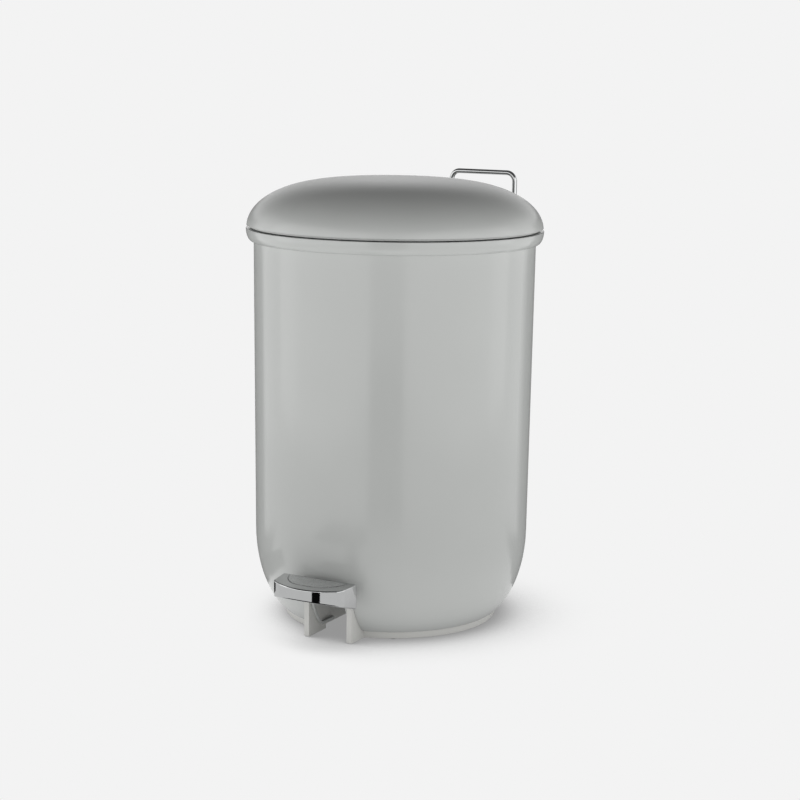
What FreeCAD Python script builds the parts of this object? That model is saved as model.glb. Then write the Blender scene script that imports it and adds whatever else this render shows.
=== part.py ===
import FreeCAD, Part
import math
import os
import re

import Sketcher
from FreeCAD import Placement, Rotation, Vector

# Pedal trash can. Millimetres, +Z up, origin on the can's axis at the floor. The pedal points along -Y.

SIZES = {
    # Outer shell: a slightly tapered drum with a round bottom edge.
    "wall": 2.2,
    "wall_top_radius": 123.2,
    "wall_low_radius": 121.03,
    "rim_step_height": 332.6,
    "shell_top_height": 340.0,
    "curve_top_height": 78.7,
    "curve_width": 41.35,
    "curve_depth": 78.5,
    "shell_floor_height": 7.0,
    "shell_floor_thickness": 2.4,
    "shell_floor_hole_radius": 76.0,
    "shell_boss_radius": 4.2,
    "shell_boss_height": 12.0,
    "lever_opening_top": 54.0,
    "lever_opening_half": 15.5,
    "tail_recess_half": 17.0,
    "tail_recess_front": 60.0,
    "tail_recess_back": 96.0,
    "rod_window_half": 14.0,
    "rod_window_bottom": 308.0,
    # Rim collar: the convex bead that the lid closes on, and the ledge that carries the bucket.
    "rim_radius": 130.0,
    "rim_height": 343.8,
    "rim_edge_round": 0.5,
    "bead_width": 5.5,
    "collar_inner_radius": 118.6,
    "collar_skirt": 3.6,
    "collar_grip": 0.2,
    "ledge_radius": 111.5,
    "ledge_height": 336.0,
    "ledge_thickness": 2.4,
    "collar_notch_half": 21.5,
    "bumper_radius": 1.7,
    "bumper_height": 2.0,
    "bumper_circle": 124.9,
    "bumper_depth": 1.6,
    # Base plate: foot ring, tunnel walls and the two fins that stop the can tipping forwards.
    "ring_radius": 94.1,
    "ring_width": 8.1,
    "ring_bottom": 0.4,
    "ring_round": 0.8,
    "plate_bottom": 4.6,
    "fin_inner": 18.5,
    "fin_outer": 23.2,
    "fin_front": 113.0,
    "fin_top": 38.2,
    "fin_chamfer": 0.8,
    "fin_step_front": 75.0,
    "fin_step_back": 60.0,
    "wall_back": 10.0,
    "wall_height": 32.0,
    "wall_chamfer": 6.0,
    "slot_back": 15.0,
    "pad_radius": 3.0,
    "pad_height": 2.2,
    "pad_depth": 2.0,
    "pad_circle": 90.0,
    # Screws: all pan heads of one size.
    "screw_circle": 82.0,
    "screw_radius": 1.9,
    "screw_head_radius": 3.4,
    "screw_head_height": 2.0,
    "base_screw_length": 11.0,
    # Pedal lever: a pressed steel channel on a pin across the tunnel. Its sizes run from the tail forwards.
    "pivot_back": 30.0,
    "pivot_height": 17.0,
    "pivot_radius": 3.0,
    "pin_overhang": 3.4,
    "clip_radius": 6.0,
    "clip_height": 1.4,
    "clip_stand_off": 0.9,
    "bush_radius": 5.0,
    "bush_flange": 2.0,
    "bush_side_gap": 0.5,
    "lever_half": 14.0,
    "lever_sheet": 2.0,
    "lever_low": 9.3,
    "tail_end": 91.5,
    "tail_top": 18.0,
    "tail_knee": 60.0,
    "tail_knee_top": 20.0,
    "hump": 10.0,
    "neck_back": 60.0,
    "neck_back_top": 31.0,
    "neck_front_top": 47.0,
    "tongue_back": 124.0,
    "tongue_front": 149.0,
    "tongue_top": 50.5,
    "tongue_flange": 4.0,
    "tongue_root_flange": 7.0,
    "neck_flange": 10.5,
    "belly_front": 90.0,
    "belly_front_low": 27.5,
    "belly_back": 50.0,
    "belly_back_low": 14.5,
    "belly_end": 38.0,
    "belly_end_low": 10.0,
    "foot_reach": 84.0,
    "foot_height": 14.0,
    "foot_slot_back": 2.5,
    "foot_slot_front": 4.8,
    "foot_slot_clear": 0.5,
    "stop_radius": 4.0,
    "stop_height": 1.7,
    "stop_ahead": 12.0,
    # Pedal cap: a barrel in plan with a bowed front, and a wedge from the side.
    "cap_half_front": 33.3,
    "cap_half_back": 35.6,
    "cap_corner": 147.6,
    "cap_front": 159.3,
    "cap_back": 126.2,
    "cap_front_top": 56.5,
    "cap_back_top": 58.0,
    "cap_front_bottom": 46.5,
    "cap_back_bottom": 35.9,
    "cap_wall": 2.5,
    "cap_corner_round": 9.0,
    "cap_edge_round": 1.2,
    "cap_boss_radius": 4.0,
    "cap_boss_height": 3.4,
    "pedal_screw_back": 131.0,
    "pedal_screw_front": 143.0,
    "pedal_screw_length": 7.2,
    "inset_half_front": 15.0,
    "inset_half_back": 28.2,
    "inset_corner": 148.0,
    "inset_front": 149.8,
    "inset_back": 129.2,
    "inset_side_bulge": 30.0,
    "inset_depth": 1.0,
    "inset_gap": 0.55,
    # Lift rod and the slotted head on top of it.
    "rod_radius": 2.0,
    "rod_back": 115.5,
    "rod_top": 319.5,
    "rod_hook": 3.0,
    "rod_rise": 9.0,
    "rod_lean_back": 110.5,
    "rod_lean_height": 43.0,
    "rod_straight_height": 84.0,
    "head_half": 7.5,
    "head_front": 108.6,
    "head_back": 122.4,
    "head_bottom": 312.0,
    "head_top": 329.6,
    "slot_clear": 0.8,
    "slot_end_clear": 0.5,
    "low_guide_height": 118.0,
    "high_guide_height": 270.0,
    "guide_half": 7.0,
    "guide_front": 111.5,
    "guide_tall": 10.0,
    "guide_running": 0.08,
    # Lid and its hinge.
    "lid_radius": 129.6,
    "lid_base_height": 344.2,
    "lid_rise": 44.07,
    "lid_power": 3.17,
    "lid_edge_height": 346.4,
    "lid_wall": 2.0,
    "skirt_outer": 126.2,
    "skirt_inner": 124.5,
    "skirt_bottom": 344.5,
    "skirt_tall": 9.9,
    "skirt_slope": 3.0,
    "lid_boss_front": 90.0,
    "lid_boss_back": 108.0,
    "lid_boss_bottom": 358.05,
    "lid_screw_front": 94.5,
    "lid_screw_back": 103.5,
    "lid_screw_length": 12.0,
    "hinge_back": 133.5,
    "hinge_height": 337.0,
    "hinge_pin_radius": 2.0,
    "arm_length": 20.36,
    "arm_angle": 40.0,
    "arm_half": 10.5,
    "arm_inner_half": 8.0,
    "arm_plate_top": 358.0,
    "arm_plate_low": 355.5,
    "arm_shoulder": 112.0,
    "arm_bend_back": 123.5,
    "arm_bend_height": 349.0,
    "arm_skirt_back": 126.5,
    "arm_skirt_height": 345.6,
    "arm_web_front": 106.0,
    "arm_web_height": 352.0,
    "arm_inner_front": 113.6,
    "arm_inner_height": 330.0,
    "arm_heel_back": 122.0,
    "arm_heel_height": 321.5,
    "arm_barrel_side": 5.5,
    "arm_nose": 4.0,
    "arm_eye": 4.4,
    "barrel_radius": 5.6,
    "barrel_gap": 0.6,
    # Hinge bracket and the wire handle behind it.
    "bracket_half": 40.0,
    "bracket_back": 142.0,
    "bracket_bottom": 288.0,
    "bracket_top": 331.9,
    "bracket_side_round": 6.0,
    "bracket_low_round": 4.0,
    "bracket_back_wall": 2.0,
    "lug_radius": 7.0,
    "lug_gap": 0.5,
    "fixing_half": 9.0,
    "fixing_height": 298.0,
    "fixing_start": 118.8,
    "fixing_head": 1.8,
    "fixing_length": 14.0,
    "handle_half": 32.95,
    "handle_back": 177.0,
    "handle_low": 306.0,
    "handle_top": 385.0,
    "handle_wire": 2.3,
    "handle_bury": 14.0,
    "handle_low_bend": 16.0,
    "handle_top_bend": 8.0,
    "ferrule_wall": 2.4,
    "ferrule_length": 4.0,
    # Inner bucket and its bail.
    "bucket_floor": 60.0,
    "bucket_low_radius": 95.0,
    "bucket_top_radius": 105.0,
    "bucket_wall": 1.8,
    "bucket_round": 5.0,
    "flange_radius": 117.9,
    "flange_bottom": 336.3,
    "flange_top": 338.8,
    "flange_notch_half": 13.0,
    "flange_notch_depth": 1.4,
    "bail_height": 329.0,
    "bail_radius": 90.0,
    "bail_offset": 4.0,
    "bail_wire": 2.0,
    "bail_reach": 108.5,
    "grip_radius": 5.5,
    "grip_sweep": 40.0,
    # Fits.
    "running": 0.05,
    "press": 0.02,
    "screw_clear": 0.1,
    "seat": 0.05,
    "gap": 0.3,
    # A length past the surface that a cut starts or ends beyond.
    "past": 5.0,
    "right_through": 300.0,
}

BASE_SCREW_ANGLES = (45, 135, 225, 315)
FOOT_PAD_ANGLES = (0, 60, 120, 180, 240, 300)
BUMPER_ANGLES = (30, 150, 270)
SIDES = (-1, 1)
PEDAL_SCREWS = ("pedal_screw_back", "pedal_screw_front")
LID_SCREWS = ("lid_screw_front", "lid_screw_back")

doc = FreeCAD.newDocument("pedal_can")
sheet = doc.addObject("Spreadsheet::Sheet", "Sizes")
for row, (word, number) in enumerate(SIZES.items(), start=1):
    sheet.set(f"A{row}", word)
    sheet.set(f"B{row}", str(number))
    sheet.setAlias(f"B{row}", word)
doc.recompute()

nodes = {}


def value(formula):
    """The formula's value in millimetres, with the sheet's words in it."""
    return float(sheet.evalExpression(str(formula)))


def bound(formula):
    """The formula as other objects write it, with each word pointed at the sheet."""
    return re.sub(r"[a-z]\w*", lambda w: "Sizes." + w.group() if w.group() in SIZES else w.group(), str(formula))


def bind(thing, **formulas):
    for name, formula in formulas.items():
        thing.setExpression(name.replace("__", "."), bound(formula))


def node(thing, label):
    thing.Label = label
    nodes[label] = thing
    return thing


# Sketches and PartDesign features.


def new_sketch(body, role, offset=0):
    sketch = body.newObject("Sketcher::SketchObject", "Sketch")
    plane = next(feature for feature in body.Origin.OriginFeatures if feature.Role == role)
    sketch.AttachmentSupport = [(plane, "")]
    sketch.MapMode = "FlatFace"
    bind(sketch, AttachmentOffset__Base__z=offset)
    return sketch


def pin_point(sketch, geometry, end, x, y):
    """Hold one end of a line or arc at (x, y), both formulas."""
    for kind, formula in (("DistanceX", x), ("DistanceY", y)):
        rule = sketch.addConstraint(Sketcher.Constraint(kind, -1, 1, geometry, end, value(formula)))
        sketch.setExpression(f"Constraints[{rule}]", bound(formula))


def bulge_arc(start, end, radius):
    """The short arc from start to end; it bulges to the right of the way for a positive radius."""
    chord = end - start
    side = Vector(chord.y, -chord.x, 0).normalize() * math.copysign(1, radius)
    rise = abs(radius) - math.sqrt(radius ** 2 - (chord.Length / 2) ** 2)
    return Part.Arc(start, start + chord / 2 + side * rise, end)


def draw(sketch, corners):
    """A closed outline. A corner is (x, y), or (x, y, radius) where an arc leaves it."""
    points = [Vector(value(corner[0]), value(corner[1]), 0) for corner in corners]
    ends = []
    first = sketch.GeometryCount
    for i, corner in enumerate(corners):
        start = points[i]
        end = points[(i + 1) % len(points)]
        if len(corner) == 2:
            sketch.addGeometry(Part.LineSegment(start, end), False)
            ends.append((1, 2))
            continue
        arc = bulge_arc(start, end, value(corner[2]))
        sketch.addGeometry(arc, False)
        forward = sketch.Geometry[first + i].StartPoint.distanceToPoint(start) < 1e-6
        ends.append((1, 2) if forward else (2, 1))
    for i, corner in enumerate(corners):
        following = (i + 1) % len(corners)
        sketch.addConstraint(
            Sketcher.Constraint("Coincident", first + i, ends[i][1], first + following, ends[following][0])
        )
        pin_point(sketch, first + i, ends[i][0], corner[0], corner[1])
        if len(corner) == 3:
            rule = sketch.addConstraint(Sketcher.Constraint("Radius", first + i, abs(value(corner[2]))))
            sketch.setExpression(f"Constraints[{rule}]", f"abs({bound(corner[2])})")


def draw_circle(sketch, x, y, radius):
    center = Vector(value(x), value(y), 0)
    geometry = sketch.addGeometry(Part.Circle(center, Vector(0, 0, 1), value(radius)), False)
    pin_point(sketch, geometry, 3, x, y)
    rule = sketch.addConstraint(Sketcher.Constraint("Radius", geometry, value(radius)))
    sketch.setExpression(f"Constraints[{rule}]", bound(radius))


def rectangle(low_x, low_y, high_x, high_y):
    return [(low_x, low_y), (high_x, low_y), (high_x, high_y), (low_x, high_y)]


def pad(body, sketch, length, midplane=False, reverse=False):
    feature = body.newObject("PartDesign::Pad", "Pad")
    feature.Profile = sketch
    feature.SideType = "Symmetric" if midplane else "One side"
    feature.Reversed = reverse
    bind(feature, Length=length)
    return feature


def pocket(body, sketch, length, midplane=False, reverse=False):
    """Cut the sketch out of the body, and stop if nothing was cut."""
    doc.recompute()
    before = body.Shape.Volume
    feature = body.newObject("PartDesign::Pocket", "Pocket")
    feature.Profile = sketch
    feature.SideType = "Symmetric" if midplane else "One side"
    feature.Reversed = reverse
    bind(feature, Length=length)
    doc.recompute()
    if feature.Shape.Volume > before - 0.01:
        raise RuntimeError(f"{body.Label}: {feature.Label} cuts nothing")
    return feature


def revolve(body, sketch):
    feature = body.newObject("PartDesign::Revolution", "Revolution")
    feature.Profile = sketch
    feature.ReferenceAxis = (sketch, ["V_Axis"])
    feature.Angle = 360
    return feature


def round_edges(body, radius, chosen):
    """Fillet the edges of the body's tip that chosen(edge) picks."""
    doc.recompute()
    tip = body.Tip
    names = [f"Edge{i}" for i, edge in enumerate(tip.Shape.Edges, start=1) if chosen(edge)]
    if not names:
        raise RuntimeError(f"{body.Label}: no edge to round")
    feature = body.newObject("PartDesign::Fillet", "Fillet")
    feature.Base = (tip, names)
    bind(feature, Radius=radius)
    return feature


def new_body(label):
    body = doc.addObject("PartDesign::Body", label)
    return node(body, label)


# Part primitives.


def place(thing, x, y, z, turn=None):
    if turn is not None:
        thing.Placement = Placement(Vector(), turn)
    bind(thing, Placement__Base__x=x, Placement__Base__y=y, Placement__Base__z=z)
    return thing


ALONG_X = Rotation(Vector(0, 1, 0), 90)
ALONG_Y = Rotation(Vector(1, 0, 0), -90)


def cylinder(radius, height, x, y, z, turn=None):
    thing = doc.addObject("Part::Cylinder", "Cylinder")
    bind(thing, Radius=radius, Height=height)
    return place(thing, x, y, z, turn)


def box(low_x, low_y, low_z, high_x, high_y, high_z):
    thing = doc.addObject("Part::Box", "Box")
    bind(
        thing,
        Length=f"({high_x}) - ({low_x})",
        Width=f"({high_y}) - ({low_y})",
        Height=f"({high_z}) - ({low_z})",
    )
    return place(thing, low_x, low_y, low_z)


def cut(base, tool):
    thing = doc.addObject("Part::Cut", "Cut")
    thing.Base = base
    thing.Tool = tool
    return thing


def fuse(parts):
    thing = doc.addObject("Part::MultiFuse", "Fusion")
    thing.Shapes = parts
    return thing


def group(parts):
    thing = doc.addObject("Part::Compound", "Group")
    thing.Links = parts
    return thing


def screw(x, y, z, length, head, turn=None):
    """A pan-head screw whose head's outer face is at (x, y, z) and whose shank runs along the turned +Z."""
    shank = cylinder("screw_radius", length, x, y, z, turn)
    cap = cylinder("screw_head_radius", head, x, y, z, turn)
    return fuse([shank, cap])


def drill(body, role, start, spots, radius, depth, reverse=False):
    """Round holes of one radius at these spots, from a plane of the body's own."""
    sketch = new_sketch(body, role, start)
    for x, y in spots:
        draw_circle(sketch, x, y, radius)
    pocket(body, sketch, depth, reverse=reverse)


def around(angle, radius):
    """Formulas for the point at this angle on a circle about the can's axis."""
    return f"({radius}) * cos({angle})", f"({radius}) * sin({angle})"


def bent_wire(points, bends, radius):
    """A round wire along straight runs joined by tangent arcs, one bend radius for each inner point."""
    edges = []
    start = points[0]
    for i, bend in enumerate(bends, start=1):
        corner = points[i]
        back = (points[i - 1] - corner).normalize()
        ahead = (points[i + 1] - corner).normalize()
        half = back.getAngle(ahead) / 2
        reach = bend / math.tan(half)
        entry = corner + back * reach
        leave = corner + ahead * reach
        inward = (back + ahead).normalize()
        middle = corner + inward * (bend / math.sin(half) - bend)
        edges.append(Part.LineSegment(start, entry).toShape())
        edges.append(Part.Arc(entry, middle, leave).toShape())
        start = leave
    edges.append(Part.LineSegment(start, points[-1]).toShape())
    return sweep_wire(edges, radius)


def sweep_wire(edges, radius):
    path = Part.Wire(edges)
    start = path.OrderedVertexes[0].Point
    heading = path.OrderedEdges[0].tangentAt(path.OrderedEdges[0].FirstParameter)
    section = Part.Wire(Part.makeCircle(radius, start, heading))
    return path.makePipeShell([section], True, False)


def shape_node(shape, label):
    thing = doc.addObject("Part::Feature", label)
    thing.Shape = shape
    return node(thing, label)


# The can's standing parts.


def curve_point(height, width, depth):
    """The round bottom edge's radius at this height, as a formula."""
    center = "(wall_low_radius - curve_width)"
    return f"{center} + ({width}) * sqrt(1 - ((curve_top_height - ({height})) / ({depth}))^2)"


def ellipse_arc(sketch, center, width, depth, low, high):
    """A stretch of an upright ellipse's lower right quarter; its ends are 1 at low and 2 at high."""
    top = Vector(center.x, center.y + depth, 0)
    left = Vector(center.x - width, center.y, 0)
    ellipse = Part.Ellipse(top, left, center)
    return sketch.addGeometry(Part.ArcOfEllipse(ellipse, ellipse.parameter(low), ellipse.parameter(high)), False)


def join(sketch, ends):
    """Make each (geometry, end) pair in the list meet."""
    for (first, first_end), (second, second_end) in ends:
        sketch.addConstraint(Sketcher.Constraint("Coincident", first, first_end, second, second_end))


def add_line(sketch, start, end):
    return sketch.addGeometry(Part.LineSegment(start, end), False)


def shell_profile(sketch):
    """Half section of the drum: outer wall, top edge, inner wall and the floor flange."""
    floor_top = "shell_floor_height + shell_floor_thickness"
    inner_width = "curve_width - wall"
    inner_depth = "curve_depth - wall"
    corners = [
        ("shell_floor_hole_radius", "shell_floor_height"),
        (curve_point("shell_floor_height", "curve_width", "curve_depth"), "shell_floor_height"),
        ("wall_low_radius", "curve_top_height"),
        ("wall_top_radius", "rim_step_height"),
        ("wall_top_radius", "shell_top_height"),
        ("wall_top_radius - wall", "shell_top_height"),
        ("wall_top_radius - wall", "rim_step_height"),
        ("wall_low_radius - wall", "curve_top_height"),
        (curve_point(floor_top, inner_width, inner_depth), floor_top),
        ("shell_floor_hole_radius", floor_top),
    ]
    points = [Vector(value(x), value(y), 0) for x, y in corners]
    center = Vector(value("wall_low_radius - curve_width"), value("curve_top_height"), 0)
    ids = []
    ends = []
    for i, start in enumerate(points):
        end = points[(i + 1) % len(points)]
        if i == 1:
            ids.append(ellipse_arc(sketch, center, value("curve_width"), value("curve_depth"), start, end))
            ends.append((1, 2))
        elif i == 7:
            ids.append(ellipse_arc(sketch, center, value(inner_width), value(inner_depth), end, start))
            ends.append((2, 1))
        else:
            ids.append(add_line(sketch, start, end))
            ends.append((1, 2))
    for i in range(len(points)):
        following = (i + 1) % len(points)
        join(sketch, [((ids[i], ends[i][1]), (ids[following], ends[following][0]))])
        if i not in (1, 7):
            pin_point(sketch, ids[i], 1, *corners[i])
    return sketch


def make_outer_shell():
    body = new_body("outer_shell")
    revolve(body, shell_profile(new_sketch(body, "XZ_Plane")))
    doc.recompute()
    add_shell_bosses(body)
    cut_lever_opening(body)
    cut_rod_window(body)
    drill_bracket_fixings(body)


def add_shell_bosses(body):
    """Round posts on the drum's floor that the base screws bite into."""
    spots = [around(angle, "screw_circle") for angle in BASE_SCREW_ANGLES]
    bosses = new_sketch(body, "XY_Plane", "shell_floor_height + shell_floor_thickness / 2")
    for x, y in spots:
        draw_circle(bosses, x, y, "shell_boss_radius")
    pad(body, bosses, "shell_boss_height")
    drill(body, "XY_Plane", "shell_floor_height - 1", spots, "screw_radius + press", "base_screw_length", True)


def cut_lever_opening(body):
    """The front opening that the lever swings in, a slot for each fin and a recess for the lever's tail."""
    low = "shell_floor_height - past"
    opening = new_sketch(body, "XZ_Plane")
    draw(opening, rectangle("-lever_opening_half", low, "lever_opening_half", "lever_opening_top"))
    pocket(body, opening, "rim_radius", reverse=True)
    for side in SIDES:
        slot = new_sketch(body, "XZ_Plane")
        inner = f"{side} * (fin_inner - gap)"
        outer = f"{side} * (fin_outer + gap)"
        draw(slot, rectangle(inner, low, outer, "fin_top + gap"))
        pocket(body, slot, "rim_radius", reverse=True)
    tail = new_sketch(body, "XY_Plane", "shell_floor_height - 1")
    draw(tail, rectangle("-tail_recess_half", "tail_recess_front", "tail_recess_half", "tail_recess_back"))
    pocket(body, tail, "past", reverse=True)


def cut_rod_window(body):
    """The window in the back wall that the lid's arm reaches through; it is wider above the rim's step."""
    window = new_sketch(body, "XZ_Plane")
    draw(window, [
        ("-rod_window_half", "rod_window_bottom"),
        ("rod_window_half", "rod_window_bottom"),
        ("rod_window_half", "rim_step_height"),
        ("collar_notch_half", "rim_step_height"),
        ("collar_notch_half", "shell_top_height + past"),
        ("-collar_notch_half", "shell_top_height + past"),
        ("-collar_notch_half", "rim_step_height"),
        ("-rod_window_half", "rim_step_height"),
    ])
    pocket(body, window, "rim_radius")


def drill_bracket_fixings(body):
    """Two screw holes in the back wall, sunk inside for the screws' heads."""
    spots = [(f"{side} * fixing_half", "fixing_height") for side in SIDES]
    drill(body, "XZ_Plane", "0", spots, "screw_radius + press", "rim_radius")
    drill(body, "XZ_Plane", "0", spots, "screw_head_radius + screw_clear", "fixing_start + fixing_head")


def collar_profile(sketch):
    """Half section of the collar: the bead's quarter ellipse, the ledge and the groove over the drum's edge."""
    corners = [
        ("wall_top_radius + screw_clear", "rim_step_height"),
        ("rim_radius - bead_width", "rim_step_height"),
        ("rim_radius", "rim_height"),
        ("collar_inner_radius", "rim_height"),
        ("collar_inner_radius", "ledge_height"),
        ("ledge_radius", "ledge_height"),
        ("ledge_radius", "ledge_height - ledge_thickness"),
        ("collar_inner_radius", "ledge_height - ledge_thickness"),
        ("collar_inner_radius", "rim_step_height - collar_skirt"),
        ("wall_top_radius - wall - collar_grip", "rim_step_height - collar_skirt"),
        ("wall_top_radius - wall - collar_grip", "shell_top_height + screw_clear"),
        ("wall_top_radius + screw_clear", "shell_top_height + screw_clear"),
    ]
    bead = 1
    points = [Vector(value(x), value(y), 0) for x, y in corners]
    center = Vector(points[bead].x, points[bead + 1].y, 0)
    height = value("rim_height - rim_step_height")
    ids = []
    for i, start in enumerate(points):
        end = points[(i + 1) % len(points)]
        if i == bead:
            ids.append(ellipse_arc(sketch, center, value("bead_width"), height, start, end))
        else:
            ids.append(add_line(sketch, start, end))
    for i in range(len(points)):
        join(sketch, [((ids[i], 2), (ids[(i + 1) % len(points)], 1))])
        if i != bead:
            pin_point(sketch, ids[i], 1, *corners[i])
    return sketch


def make_rim_collar():
    body = new_body("rim_collar")
    revolve(body, collar_profile(new_sketch(body, "XZ_Plane")))
    doc.recompute()
    spots = [around(angle, "bumper_circle") for angle in BUMPER_ANGLES]
    drill(body, "XY_Plane", "rim_height - bumper_depth", spots, "bumper_radius", "past", True)
    notch = new_sketch(body, "XZ_Plane")
    low = "rim_step_height - 2 * past"
    draw(notch, rectangle("-collar_notch_half", low, "collar_notch_half", "rim_height + past"))
    pocket(body, notch, "rim_radius + past")
    round_edges(body, "rim_edge_round", lambda edge: is_circle_at(edge, "rim_radius", "rim_height"))


def is_circle_at(edge, radius, height):
    """Whether the edge runs round the can's axis at this radius and height."""
    if not isinstance(edge.Curve, Part.Circle):
        return False
    near_radius = abs(edge.Curve.Radius - value(radius)) < 0.01
    near_height = abs(edge.Curve.Center.z - value(height)) < 0.01
    return near_radius and near_height and abs(edge.Curve.Center.x) + abs(edge.Curve.Center.y) < 0.01


def discs(label, radius, height, circle, angles, bottom):
    """A node of equal upright discs on a circle about the can's axis."""
    pieces = [cylinder(radius, height, *around(angle, circle), bottom) for angle in angles]
    node(group(pieces), label)


def make_rim_bumpers():
    bottom = "rim_height - bumper_depth"
    discs("rim_bumpers", "bumper_radius", "bumper_height", "bumper_circle", BUMPER_ANGLES, bottom)


def make_base_plate():
    body = new_body("base_plate")
    profile = new_sketch(body, "XZ_Plane")
    draw(profile, [
        ("0", "plate_bottom"),
        ("ring_radius - ring_width", "plate_bottom"),
        ("ring_radius - ring_width", "ring_bottom"),
        ("ring_radius", "ring_bottom"),
        ("ring_radius", "shell_floor_height - seat"),
        ("0", "shell_floor_height - seat"),
    ])
    revolve(body, profile)
    round_edges(body, "ring_round", lambda edge: is_circle_at(edge, "ring_radius", "ring_bottom"))
    slot = new_sketch(body, "XY_Plane", "-past")
    draw(slot, rectangle("-fin_inner", "-ring_radius - past", "fin_inner", "-slot_back"))
    pocket(body, slot, "past + shell_floor_height + past", reverse=True)
    for side in SIDES:
        add_fin(body, side)
    drill_base_plate(body)


def add_fin(body, side):
    """One wall of the lever's tunnel, which runs forwards into the fin."""
    fin = new_sketch(body, "YZ_Plane", f"{side} * (fin_inner + fin_outer) / 2")
    draw(fin, [
        ("-fin_front + fin_chamfer", "ring_bottom"),
        ("-ring_radius + ring_width", "ring_bottom"),
        ("-ring_radius + ring_width", "plate_bottom"),
        ("wall_back", "plate_bottom"),
        ("wall_back", "wall_height - wall_chamfer"),
        ("wall_back - wall_chamfer", "wall_height"),
        ("-fin_step_back", "wall_height"),
        ("-fin_step_front", "fin_top"),
        ("-fin_front", "fin_top"),
        ("-fin_front", "ring_bottom + fin_chamfer"),
    ])
    pad(body, fin, "fin_outer - fin_inner", midplane=True)


def drill_base_plate(body):
    """Holes for the pedal's pin, sockets for the foot pads and holes for the base screws."""
    pin_hole = new_sketch(body, "YZ_Plane")
    draw_circle(pin_hole, "-pivot_back", "pivot_height", "pivot_radius + press")
    pocket(body, pin_hole, "right_through", midplane=True)
    pads = [around(angle, "pad_circle") for angle in FOOT_PAD_ANGLES]
    drill(body, "XY_Plane", "-past", pads, "pad_radius + press", "past + ring_bottom + pad_depth", True)
    screws = [around(angle, "screw_circle") for angle in BASE_SCREW_ANGLES]
    drill(body, "XY_Plane", "-past", screws, "screw_radius + screw_clear", "right_through", True)


def make_foot_pads():
    discs("foot_pads", "pad_radius", "pad_height", "pad_circle", FOOT_PAD_ANGLES, "0")


def make_base_screws():
    screws = []
    for angle in BASE_SCREW_ANGLES:
        x, y = around(angle, "screw_circle")
        screws.append(screw(x, y, "plate_bottom - screw_head_height", "base_screw_length", "screw_head_height"))
    node(group(screws), "base_screws")


# The pedal, its pivot and the stop under its tail.


def across(radius, length, start):
    """A cylinder along X on the pedal's pivot line."""
    return cylinder(radius, length, start, "-pivot_back", "pivot_height", ALONG_X)


def make_pivot_pin():
    reach = "(fin_outer + pin_overhang)"
    node(across("pivot_radius", f"2 * {reach}", f"-{reach}"), "pedal_pivot_pin")
    clips = []
    for side in SIDES:
        start = f"{side} * (fin_outer + clip_stand_off) - clip_height / 2"
        disc = across("clip_radius", "clip_height", start)
        hole = across("pivot_radius + press / 2", "clip_height", start)
        clips.append(cut(disc, hole))
    node(group(clips), "pivot_pin_clips")


def make_pivot_bushes():
    """A flanged bush in each cheek of the lever."""
    sleeve_inner = "(lever_half - lever_sheet - bush_side_gap)"
    flange_inner = "(lever_half + press)"
    outer = "(fin_inner - bush_side_gap)"
    bushes = []
    for side in SIDES:
        sleeve_start = sleeve_inner if side > 0 else f"-{outer}"
        flange_start = flange_inner if side > 0 else f"-{outer}"
        sleeve = across("bush_radius", f"{outer} - {sleeve_inner}", sleeve_start)
        flange = across("bush_radius + bush_flange", f"{outer} - {flange_inner}", flange_start)
        bore = across("pivot_radius + running", f"{outer} - {sleeve_inner}", sleeve_start)
        bushes.append(cut(fuse([sleeve, flange]), bore))
    node(group(bushes), "pivot_bushes")


def lever_top(drop):
    """The lever's upper edge from the tail to the tongue, lowered by drop."""
    return [
        ("tail_end", f"tail_top - {drop}"),
        ("tail_knee", f"tail_knee_top - {drop}"),
        ("-pivot_back", f"pivot_height + hump - {drop}"),
        ("-neck_back", f"neck_back_top - {drop}"),
        ("-fin_front", f"neck_front_top - {drop}"),
        ("-tongue_back", f"tongue_top - {drop}"),
        (f"-tongue_front + {drop}", f"tongue_top - {drop}"),
    ]


def make_lever():
    """A steel channel, open below: cap tongue in front, pivot in the middle, slotted tail behind."""
    body = new_body("pedal_lever")
    side = new_sketch(body, "YZ_Plane")
    draw(side, lever_top("0") + [
        ("-tongue_front", "tongue_top - tongue_flange"),
        ("-tongue_back - 2", "tongue_top - tongue_root_flange"),
        ("-fin_front", "neck_front_top - neck_flange"),
        ("-belly_front", "belly_front_low"),
        ("-belly_back", "belly_back_low"),
        ("-belly_end", "belly_end_low"),
        ("tail_knee", "lever_low"),
        ("tail_end", "lever_low"),
    ])
    pad(body, side, "2 * lever_half", midplane=True)
    inside = new_sketch(body, "YZ_Plane")
    hollow = lever_top("lever_sheet")
    hollow[0] = ("tail_end + past", hollow[0][1])
    draw(inside, hollow + [
        ("-tongue_front + lever_sheet", "tongue_top - 2 * past"),
        ("-belly_front", "0"),
        ("tail_end + past", "0"),
    ])
    pocket(body, inside, "2 * (lever_half - lever_sheet)", midplane=True)
    pierce_lever(body)


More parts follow.
